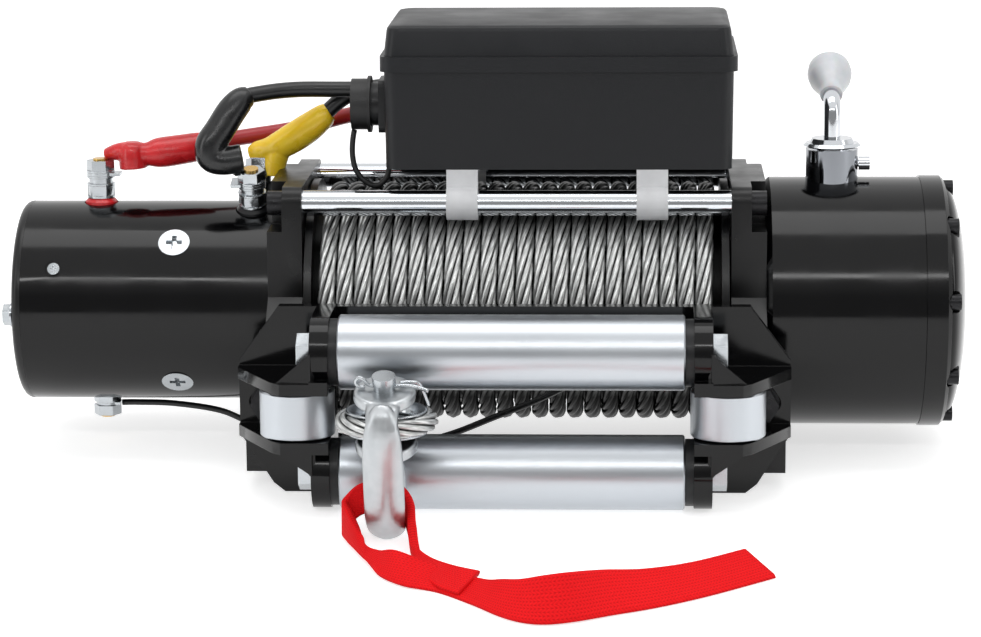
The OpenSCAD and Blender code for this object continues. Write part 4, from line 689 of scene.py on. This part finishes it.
def rope_skin(path, side, diameter, lay):
    """Six round strands laid round a core: at angle f round a strand of radius a sixth of the rope's
    diameter, the surface lies at (d/3 + d/6 cos f, d/6 sin f), from one groove to the next, and the
    whole section turns once per lay. The level is one on a strand's crown and zero in a groove."""
    strands, steps = 6, 6
    f = np.radians(-120 + 240 / steps * np.arange(steps))
    radius, middle = diameter / 6, diameter / 3
    x0, y0 = middle + radius * np.cos(f), radius * np.sin(f)
    turn = 2 * np.pi * np.arange(strands)[:, None] / strands
    x = (x0 * np.cos(turn) - y0 * np.sin(turn)).ravel()
    y = (x0 * np.sin(turn) + y0 * np.cos(turn)).ravel()
    run = lengths(path)
    spin = 2 * np.pi * run[:, None] / lay
    across = x * np.cos(spin) - y * np.sin(spin)
    up = x * np.sin(spin) + y * np.cos(spin)
    level = np.tile((np.cos(f) + 0.5) / 1.5, strands)
    u = np.linspace(0, strands * 4 / 3 * np.pi * radius / MM, strands * steps + 1)
    return Skin().grid(swept(path, side, across, up), u=u, v=run / MM, value=level)


def tube_skin(path, side, radius, columns=20, skin=None):
    """Round tube: at angle a the surface lies one radius out, along the cosine and sine of a."""
    a = np.linspace(0, 2 * np.pi, columns, endpoint=False)
    u = np.linspace(0, 2 * np.pi * radius / MM, columns + 1)
    points = swept(path, side, radius * np.cos(a), radius * np.sin(a))
    return (skin or Skin()).grid(points, u=u, v=lengths(path) / MM)


def hood_skin(rows, side, deep, skin):
    """Shell swept through rows of x, y, z and two half widths in millimetres. It is closed at its first
    row and open at its last, where the inside runs back for a number of rows, one wall thickness in."""
    rows = smooth_route(rows, BOOT_STEPS)
    path = place(rows[:, :3])
    _, across, up = carried(path, np.asarray(side, float))
    order = list(range(len(path))) + list(range(len(path) - 1, len(path) - 1 - deep, -1))
    inset = np.r_[np.zeros(len(path)), np.full(deep, BOOT_WALL)]
    a = np.linspace(0, 2 * np.pi, BOOT_COLUMNS, endpoint=False)
    x = (rows[order, 3] - inset)[:, None] * MM * np.cos(a)
    y = (rows[order, 4] - inset)[:, None] * MM * np.sin(a)
    path, across, up = (along[order][:, None] for along in (path, across, up))
    return skin.grid(path + x[..., None] * across + y[..., None] * up)


def oval_skin(path, side, half_x, half_y, power, skin=None):
    """Swept superellipse: |x/half_x|^power + |y/half_y|^power = 1, square to the path."""
    a = np.linspace(0, 2 * np.pi, 32, endpoint=False)
    c, s = np.cos(a), np.sin(a)
    x = np.asarray(half_x, float)[:, None] * np.sign(c) * np.abs(c) ** (2 / power)
    y = np.asarray(half_y, float)[:, None] * np.sign(s) * np.abs(s) ** (2 / power)
    return (skin or Skin()).grid(swept(path, side, x, y), v=lengths(path) / MM)


def turned_skin(profile, centre, axis, columns, skin=None):
    """Surface of revolution: each (radius, height) of the profile goes once round the axis."""
    axis = unit(np.asarray(axis, float))
    side = unit(np.cross(axis, [0.31, 0.88, 0.36]))
    other = np.cross(axis, side)
    a = np.linspace(0, 2 * np.pi, columns, endpoint=False)
    r, h = np.asarray(profile, float).T
    ring = np.cos(a)[:, None] * side + np.sin(a)[:, None] * other
    points = np.asarray(centre) + r[:, None, None] * ring + h[:, None, None] * axis
    return (skin or Skin()).grid(points, capped=r[0] > 0 or r[-1] > 0)


def fused(made, voxel_mm, rounds):
    """One skin over overlapping closed ones, by voxels, smoothed so that they run into each other."""
    fuse = made.modifiers.new("Fuse", "REMESH")
    fuse.mode, fuse.voxel_size, fuse.use_smooth_shade = "VOXEL", voxel_mm * MM, True
    smooth = made.modifiers.new("Fillets", "SMOOTH")
    smooth.factor, smooth.iterations = 0.5, rounds
    bpy.context.view_layer.update()
    solid = made.evaluated_get(bpy.context.evaluated_depsgraph_get())
    mesh = bpy.data.meshes.new_from_object(solid)
    made.modifiers.clear()
    made.data = mesh
    return made


def in_clevis(points):
    """Clevis points (side, forward, up) in millimetres, in metres in the part's own frame."""
    lean = math.radians(PIN_LEAN)
    side, ahead, up = np.moveaxis(np.asarray(points, float), -1, 0)
    y = PIN_Y - ahead * math.cos(lean) - up * math.sin(lean)
    z = PIN_Z - ahead * math.sin(lean) + up * math.cos(lean)
    return place(np.stack([HOOK_X + side, y, z], -1))


def at_side(side, ahead, up):
    """Clevis points that share a number among side, forward and up."""
    return in_clevis(np.stack(np.broadcast_arrays(side, ahead, up), -1))


# The pieces, one operator for each group

class WINCH_OT_housings(bpy.types.Operator):
    """Gives motor, gearbox, castings, drum and fairlead their paint"""

    bl_idname = "winch.housings"
    bl_label = "Paint the housings"

    def execute(self, context):
        coat(finish(gloss_enamel), "motor_housing", "fairlead_frame", "gear_housing", "gear_cover")
        coat(finish(powder_coat), "motor_end_cap", "motor_support", "gear_support", "drum")
        return {"FINISHED"}


class WINCH_OT_fittings(bpy.types.Operator):
    """Gives rollers, rods, screws, studs, nuts and clutch their plating"""

    bl_idname = "winch.fittings"
    bl_label = "Plate the fittings"

    def execute(self, context):
        coat(finish(rolled_zinc, "X"), "upper_roller", "lower_roller")
        coat(finish(rolled_zinc, "Z"), "left_roller", "right_roller")
        coat(finish(bright_zinc), "motor_through_bolts", "pole_screws", "terminal_nuts", "roller_bolts",
             "clevis_pin", "rope_ferrule", "cable_lugs")
        coat(finish(polished_chrome), "tie_rods", "clutch_lever", "clutch_stop_screw")
        # the clutch boss's chrome is darkened to #85888d as a painted dark reflection
        coat(finish(polished_chrome, "Chrome darkened as painted reflection", "#85888d"), "clutch_boss")
        coat(finish(black_oxide), "tie_rod_screws", "cover_screws", "fairlead_bolts")
        coat(finish(machined_brass), "terminal_studs", "drum_bushes", "contactors")
        coat(finish(frosted_knob), "clutch_knob")
        coat(finish(moulded_nylon), "black_insulators", "roller_washers")
        coat(finish(red_vinyl), "red_insulator")
        return {"FINISHED"}


class WINCH_OT_motor_inside(bpy.types.Operator):
    """Gives the pieces inside the motor and the drum their metals"""

    bl_idname = "winch.motor_inside"
    bl_label = "Finish the inside"

    def execute(self, context):
        coat(finish(plain_steel), "armature_shaft", "armature_core", "drive_shaft", "pole_shoes")
        coat(finish(enamelled_copper), "field_coils", "commutator", "brush_holder")
        coat(finish(rope_steel), "rope_core")
        return {"FINISHED"}


class WINCH_OT_control_box(bpy.types.Operator):
    """Gives the control box, its straps and its socket their plastics"""

    bl_idname = "winch.control_box"
    bl_label = "Finish the control box"

    def execute(self, context):
        coat(finish(moulded_abs), "control_box", "box_lid")
        coat(finish(coated_strap), "box_clamps")
        coat(finish(moulded_nylon), "remote_socket")
        coat(finish(soft_rubber), "socket_cap")
        return {"FINISHED"}


class WINCH_OT_wire_rope(bpy.types.Operator):
    """Lays the stranded wire rope on the drum and through the fairlead to its eye"""

    bl_idname = "winch.wire_rope"
    bl_label = "Lay the wire rope"

    def execute(self, context):
        sizes = context.scene.winch_sizes
        steel = finish(rope_steel)

        # Outer layer: a helix of ROPE_TURNS turns, its ends straight for one rope diameter
        turns = np.linspace(0, ROPE_TURNS, round(ROPE_TURNS * ROPE_STEPS) + 1)
        angle = 2 * np.pi * (turns - ROPE_START)
        x = ROPE_SPAN * (turns / ROPE_TURNS - 0.5)
        helix = place(np.stack([x, -LAYER_R * np.cos(angle), LAYER_R * np.sin(angle)], 1))
        ahead = unit(helix[1] - helix[0])[None] * sizes.rope_d
        behind = unit(helix[-1] - helix[-2])[None] * sizes.rope_d
        path = np.vstack([helix[0] - ahead * [[1.0], [0.66], [0.33]], helix,
                          helix[-1] + behind * [[0.33], [0.66], [1.0]]])
        rope_skin(path, [1, 0, 0], sizes.rope_d, sizes.rope_lay).piece(
            "wound_rope", finish(rope_steel, True), "drum", "wire_rope", ["rope_winding"])

        # Free end: over the layer, forward over the lower roller, round the eye and back to the ferrule
        a = np.radians(np.arange(-75, LEAD_RISE, 12.6))
        arc = np.stack([np.full(len(a), HOOK_X - STRAND_GAP), -LEAD_R * np.sin(a), -LEAD_R * np.cos(a)], 1)
        b = np.radians(np.arange(-160, 161, 20))
        eye = np.stack([HOOK_X + EYE_R * np.sin(b), EYE_Y - EYE_R * np.cos(b), np.full(len(b), EYE_Z)], 1)
        route = evenly(smooth_route(place(np.vstack([arc, LEAD_RUN, eye, LEAD_TAIL])), 8), 0.003)
        tail = rope_skin(route, [1, 0, 0], sizes.rope_d, sizes.rope_lay).piece(
            "rope_tail", steel, "winch", "wire_rope", ["rope_lead"])

        # Thimble: a groove of the rope's own radius, rolled from sheet, round the inside of the eye
        f = np.radians(np.linspace(-80, 80, 17))
        bed = sizes.rope_d / MM / 2 + 0.3
        outer = np.stack([EYE_R - bed * np.cos(f), bed * np.sin(f)], 1)
        inner = np.stack([EYE_R - (bed + 1.9) * np.cos(f[::-1]), (bed + 1.2) * np.sin(f[::-1])], 1)
        profile = np.vstack([outer, inner, outer[:1]]) * MM
        turned_skin(profile, place([HOOK_X, EYE_Y, EYE_Z]), [0, 0, 1], 72).piece(
            "eye_thimble", finish(bright_zinc), "winch", "bright_zinc", ["thimble"])
        return {"FINISHED"}


class WINCH_OT_hook(bpy.types.Operator):
    """Forges the clevis hook and finishes its latch"""

    bl_idname = "winch.hook"
    bl_label = "Forge the hook"

    def execute(self, context):
        # Shank, bowl and tip: forward, up, half width share, half depth, each a superellipse
        bend = np.radians(np.arange(0, 181, 15.0))
        bowl = np.stack([BOWL_V + BOWL_R * np.cos(bend), BOWL_W - BOWL_R * np.sin(bend),
                         1 - np.degrees(bend) / 900, 6.3 - np.degrees(bend) / 150], 1)
        line = np.vstack([[[SHANK_V - 7, 18.5, 0.36, 2.2], [SHANK_V - 4, 14, 0.68, 4.2],
                           [SHANK_V - 1, 5, 0.9, 5.4], [SHANK_V, -4, 0.98, 5.8],
                           [SHANK_V, -14, 1, 6], [SHANK_V, -26, 1, 6.2]], bowl,
                          [[BOWL_V - BOWL_R - 0.5, BOWL_W + 5, 0.7, 4.4],
                           [BOWL_V - BOWL_R - 1.5, BOWL_W + 9, 0.4, 2.4]]])
        ahead, up, half_x, half_y = smooth_route(line, 6).T
        skin = oval_skin(at_side(0.0, ahead, up), [1, 0, 0], half_x * HOOK_HALF_W * MM, half_y * MM, 1.75)

        # Two ears with rounded rims, and the arms that carry them to the shank
        pin = in_clevis([0, 0, 1]) - in_clevis([0, 0, 0])
        corner = np.radians(np.arange(0, 91, 15.0))
        rim = np.stack([EAR_R - EAR_RIM + EAR_RIM * np.sin(corner),
                        EAR_T / 2 - EAR_RIM + EAR_RIM * np.cos(corner)], 1)
        profile = np.vstack([[[0, EAR_T / 2]], rim, rim[::-1] * [1, -1], [[0, -EAR_T / 2]]]) * MM
        for way in (-1, 1):
            level = way * (EAR_GAP + EAR_T) / 2
            turned_skin(profile, in_clevis([0, 0, level]), pin, 48, skin)
            arm = [[2, level, 8.6, 3.2], [12, level, 8.4, 3.2], [18, level - 0.9 * way, 8.2, 3.5],
                   [22.5, level - 5 * way, 8, 4], [24.5, level - 11 * way, 8, 4.4]]
            ahead, up, half_x, half_y = smooth_route(arm, 6).T
            oval_skin(at_side(0.0, ahead, up), [1, 0, 0], half_x * MM, half_y * MM, 3.0, skin)

        # Cheeks behind the shank (forward, half height) and the small pin that the latch turns on
        ahead, half_y = np.array([[11, 1.2], [12, 2.4], [14, 3.2], [18, 3.4], [24, 3.6]]).T
        half_x = np.full(len(ahead), CHEEK_HALF_T * MM)
        for side in (-CHEEK_X, CHEEK_X):
            oval_skin(at_side(side, ahead, CHEEK_W), [1, 0, 0], half_x, half_y * MM, 4.0, skin)
        reach = CHEEK_X + 0.5
        tube_skin(at_side([-reach, 0.0, reach], LATCH_V, CHEEK_W), [0, 1, 0], LATCH_PIN_R * MM, 16, skin)
        made = skin.piece("forged_hook", finish(forged_zinc), "hook", "forged_zinc", ["hook"])
        fused(made, HOOK_VOXEL, HOOK_ROUNDS)
        coat(finish(plain_steel), "hook_latch")

        # Cotter pin
        skin = Skin()
        for leg in COTTER:
            run = evenly(smooth_route(in_clevis(np.array(leg) + [0, 0, COTTER_UP]), 8), 0.0008)
            tube_skin(run, [0, 1, 0], COTTER_R * MM, 16, skin)
        skin.piece("split_cotter", finish(bright_zinc), "hook", "bright_zinc", ["cotter_pin"])
        return {"FINISHED"}


class WINCH_OT_cables(bpy.types.Operator):
    """Runs the three power cables with their boots, the earth wire and the dust cap's tether"""

    bl_idname = "winch.cables"
    bl_label = "Run the cables"

    def execute(self, context):
        sizes, steps = context.scene.winch_sizes, 12
        dull_red, black = "#a8222a", "#0e0f10"
        leads = (("red", RED_ROUTE, RED_COVER_AT, dull_red, RED_SHELLS, red_vinyl,
                  "red_vinyl", "red_plastic"),
                 ("yellow", YELLOW_ROUTE, YELLOW_COVER_AT, black, YELLOW_SHELLS, yellow_vinyl,
                  "black_vinyl", "yellow_plastic"),
                 ("black", BLACK_ROUTE, BLACK_COVER_AT, black, BLACK_SHELLS, black_vinyl,
                  "black_vinyl", "black_vinyl"))
        for name, points, cover_at, colour, shells, cover, jacket_slot, cover_slot in leads:
            whole = smooth_route(place(points), steps)
            route = evenly(whole[:cover_at * steps + 4], 0.002)
            made = tube_skin(route, [0, 1, 0], sizes.cable_d / 2).piece(
                name + "_lead", finish(jacket, name + " cable jacket", colour), "winch", jacket_slot,
                [name + "_cable"])
            skin = Skin()
            for rows, deep in shells:
                hood_skin(rows, [0, 1, 0], deep, skin)
            made = skin.piece(name + "_cover", finish(cover), "winch", cover_slot, [name + "_boot"])
            fused(made, BOOT_VOXEL, BOOT_ROUNDS)
        route = evenly(smooth_route(place(EARTH_ROUTE), steps), 0.002)
        made = tube_skin(route, [0, 1, 0], sizes.earth_d / 2, 12).piece(
            "earth_lead", finish(jacket, "black cable jacket", black), "winch", "black_vinyl",
            ["earth_wire"])
        route = evenly(smooth_route(place(TETHER), steps), 0.0015)
        made = tube_skin(route, [0, 1, 0], TETHER_D / 2 * MM, 14).piece(
            "cap_tether", finish(soft_rubber), None, "rubber")
        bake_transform(made)
        return {"FINISHED"}


class WINCH_OT_strap(bpy.types.Operator):
    """Weaves the pull strap through the hook"""

    bl_idname = "winch.strap"
    bl_label = "Weave the strap"

    def execute(self, context):
        # One band ruled between its two edges, as thick as two plies where the bowl bunches it. Across
        # it s runs from -1 to 1, and it thins to its selvedges as the root of 1 - s squared
        low, high = np.split(smooth_route(STRAP_RAILS, 12), 2, axis=1)
        run = lengths((low + high) / 2)
        even = np.linspace(0, run[-1], STRAP_ROWS)
        low, high = sampled(low, run, even), sampled(high, run, even)
        s = np.linspace(-1, 1, STRAP_COLUMNS)
        middle = low[:, None] + (s[:, None] / 2 + 0.5) * (high - low)[:, None]
        ahead = unit(np.gradient(middle, axis=0))
        face = unit(np.cross(ahead, unit(high - low)[:, None]))
        bunched = np.clip(STRAP_W / np.linalg.norm(high - low, axis=1), 1, STRAP_BUNCHED)
        selvedge = np.minimum(1, np.sqrt(np.clip(1 - s ** 2, 0, 1) * 12) + 0.25)
        thin = STRAP_T / 2 * bunched[:, None] * selvedge
        rim = thin[..., None] * face
        ring = np.concatenate([middle + rim, (middle - rim)[:, ::-1]], 1)
        u = np.concatenate([s, s[::-1], s[:1]]) * STRAP_W / 2 + STRAP_W / 2
        made = Skin().grid(place(ring), u=u, v=even).piece(
            "webbing_strap", finish(red_webbing), None, "webbing", ["pull_strap"])
        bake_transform(made)
        return {"FINISHED"}


class WINCH_OT_stage(bpy.types.Operator):
    """Sets floor, studio light and camera"""

    bl_idname = "winch.stage"
    bl_label = "Set the stage"

    def execute(self, context):
        scene = context.scene
        scene.view_settings.view_transform = "Standard"

        # Floor: the plane through the fairlead's lower ears and the back feet
        y = np.array([-2.5, -2.5, 3.0, 3.0])
        x = np.array([-3.0, 3.0, 3.0, -3.0])
        z = AXIS_Z + (GROUND_Z - GROUND_GAP) * MM + GROUND_RISE * (y - GROUND_Y * MM)
        mesh = bpy.data.meshes.new("studio_floor")
        mesh.from_pydata(np.stack([x, y, z], 1).tolist(), [], [[0, 1, 2, 3]])
        floor = bpy.data.objects.new("studio_floor", mesh)
        scene.collection.objects.link(floor)
        material, tree, shader = surface("White floor", "#e6e6e6", 0.9)
        path = add(tree, "LightPath")
        seen = add(tree, "Math", {0: path.outputs["Is Camera Ray"], 1: path.outputs["Is Glossy Ray"]},
                   operation="ADD").outputs[0]
        seen = add(tree, "Math", {0: seen, 1: path.outputs["Is Transmission Ray"]}, operation="ADD",
                   use_clamp=True).outputs[0]
        glow = add(tree, "Emission", {"Color": linear("#ffffff"), "Strength": FLOOR_GLOW}).outputs[0]
        both = add(tree, "AddShader", {0: shader.outputs[0], 1: glow}).outputs[0]
        mixed = add(tree, "MixShader", {0: seen, 1: shader.outputs[0], 2: both}).outputs[0]
        tree.links.new(mixed, tree.nodes["Material Output"].inputs["Surface"])
        mesh.materials.append(material)

        # World: white to the camera, white behind and above and grey in front to reflections, and grey
        # as a light
        world = bpy.data.worlds.new("Studio")
        scene.world = world
        world.use_nodes = True
        tree = world.node_tree
        path = add(tree, "LightPath")
        way = add(tree, "SeparateXYZ", {0: add(tree, "TexCoord").outputs["Generated"]})
        behind = spread(tree, way.outputs[1], 0.0, 1.0, -0.3, 0.25)
        above = spread(tree, way.outputs[2], 0.0, 1.0, 0.25, 0.65)
        most = add(tree, "Math", {0: behind, 1: above}, operation="MAXIMUM").outputs[0]
        bright = spread(tree, most, WORLD_FRONT, 1.0, 0.0, 1.0)
        shiny = add(tree, "Math", {0: path.outputs["Is Glossy Ray"], 1: path.outputs["Is Transmission Ray"]},
                    operation="ADD", use_clamp=True).outputs[0]
        shown = add(tree, "Mix", {0: path.outputs["Is Camera Ray"], 2: bright, 3: 1.0}).outputs[0]
        seen = add(tree, "Math", {0: path.outputs["Is Camera Ray"], 1: shiny}, operation="ADD",
                   use_clamp=True).outputs[0]
        strength = add(tree, "Mix", {0: seen, 2: AMBIENT, 3: shown}).outputs[0]
        background = tree.nodes["Background"]
        background.inputs["Color"].default_value = linear("#ffffff")
        tree.links.new(strength, background.inputs["Strength"])

        # Softboxes: one overhead, one tall at each side, and a thin strip in front
        middle = Vector((0.0, 0.0, 0.08))
        boxes = [("softbox_top", (0.0, -0.1, 1.35), 1.5, 0.6, 6.5),
                 ("softbox_left", (-1.5, -0.8, 0.6), 0.4, 1.2, 4.0),
                 ("softbox_right", (1.6, -0.6, 0.6), 0.4, 1.2, 4.0),
                 ("strip_front", (0.0, -1.45, 1.0), 2.2, 0.09, 6.0)]
        for name, where, wide, high, power in boxes:
            lamp = bpy.data.lights.new(name, "AREA")
            lamp.shape, lamp.size, lamp.size_y, lamp.energy = "RECTANGLE", wide, high, power
            holder = bpy.data.objects.new(name, lamp)
            holder.location = where
            holder.rotation_euler = (middle - Vector(where)).to_track_quat("-Z", "Y").to_euler()
            scene.collection.objects.link(holder)

        # Camera: fitted to the photograph's frame of 981 by 637
        pitch, yaw, roll = (math.radians(v) for v in (11.228, 2.657, -0.422))
        lens = bpy.data.cameras.new("camera")
        lens.lens, lens.sensor_width, lens.clip_start, lens.clip_end = 120.18, 36.0, 0.05, 50.0
        camera = bpy.data.objects.new("camera", lens)
        turn = Matrix.Rotation(yaw, 4, "Z") @ Matrix.Rotation(math.pi / 2 - pitch, 4, "X")
        camera.matrix_world = (Matrix.Translation((0.0649, -1.7515, AXIS_Z + 0.3375)) @ turn
                               @ Matrix.Rotation(roll, 4, "Z"))
        scene.collection.objects.link(camera)
        scene.camera = camera
        return {"FINISHED"}


STEPS = (WINCH_OT_stage, WINCH_OT_wire_rope, WINCH_OT_cables, WINCH_OT_strap, WINCH_OT_hook,
         WINCH_OT_housings, WINCH_OT_fittings, WINCH_OT_motor_inside, WINCH_OT_control_box)


class WINCH_PT_panel(bpy.types.Panel):
    """Sizes, colours and steps of the winch"""

    bl_idname = "WINCH_PT_panel"
    bl_label = "Winch"
    bl_space_type = "VIEW_3D"
    bl_region_type = "UI"
    bl_category = "Winch"

    def draw(self, context):
        for group in (context.scene.winch_sizes, context.scene.winch_colours):
            for name in group.__annotations__:
                self.layout.prop(group, name)
        for step in STEPS:
            self.layout.operator(step.bl_idname)


CLASSES = (WinchSizes, WinchColours, *STEPS, WINCH_PT_panel)


def register():
    """Adds the classes and the two groups of settings."""
    for made in CLASSES:
        bpy.utils.register_class(made)
    bpy.types.Scene.winch_sizes = bpy.props.PointerProperty(type=WinchSizes)
    bpy.types.Scene.winch_colours = bpy.props.PointerProperty(type=WinchColours)


def unregister():
    """Takes away what register added."""
    del bpy.types.Scene.winch_colours
    del bpy.types.Scene.winch_sizes
    for made in reversed(CLASSES):
        bpy.utils.unregister_class(made)


def main():
    """Makes every piece."""
    register()
    for step in STEPS:
        group, name = step.bl_idname.split(".")
        getattr(getattr(bpy.ops, group), name)()


if __name__ == "__main__":
    main()
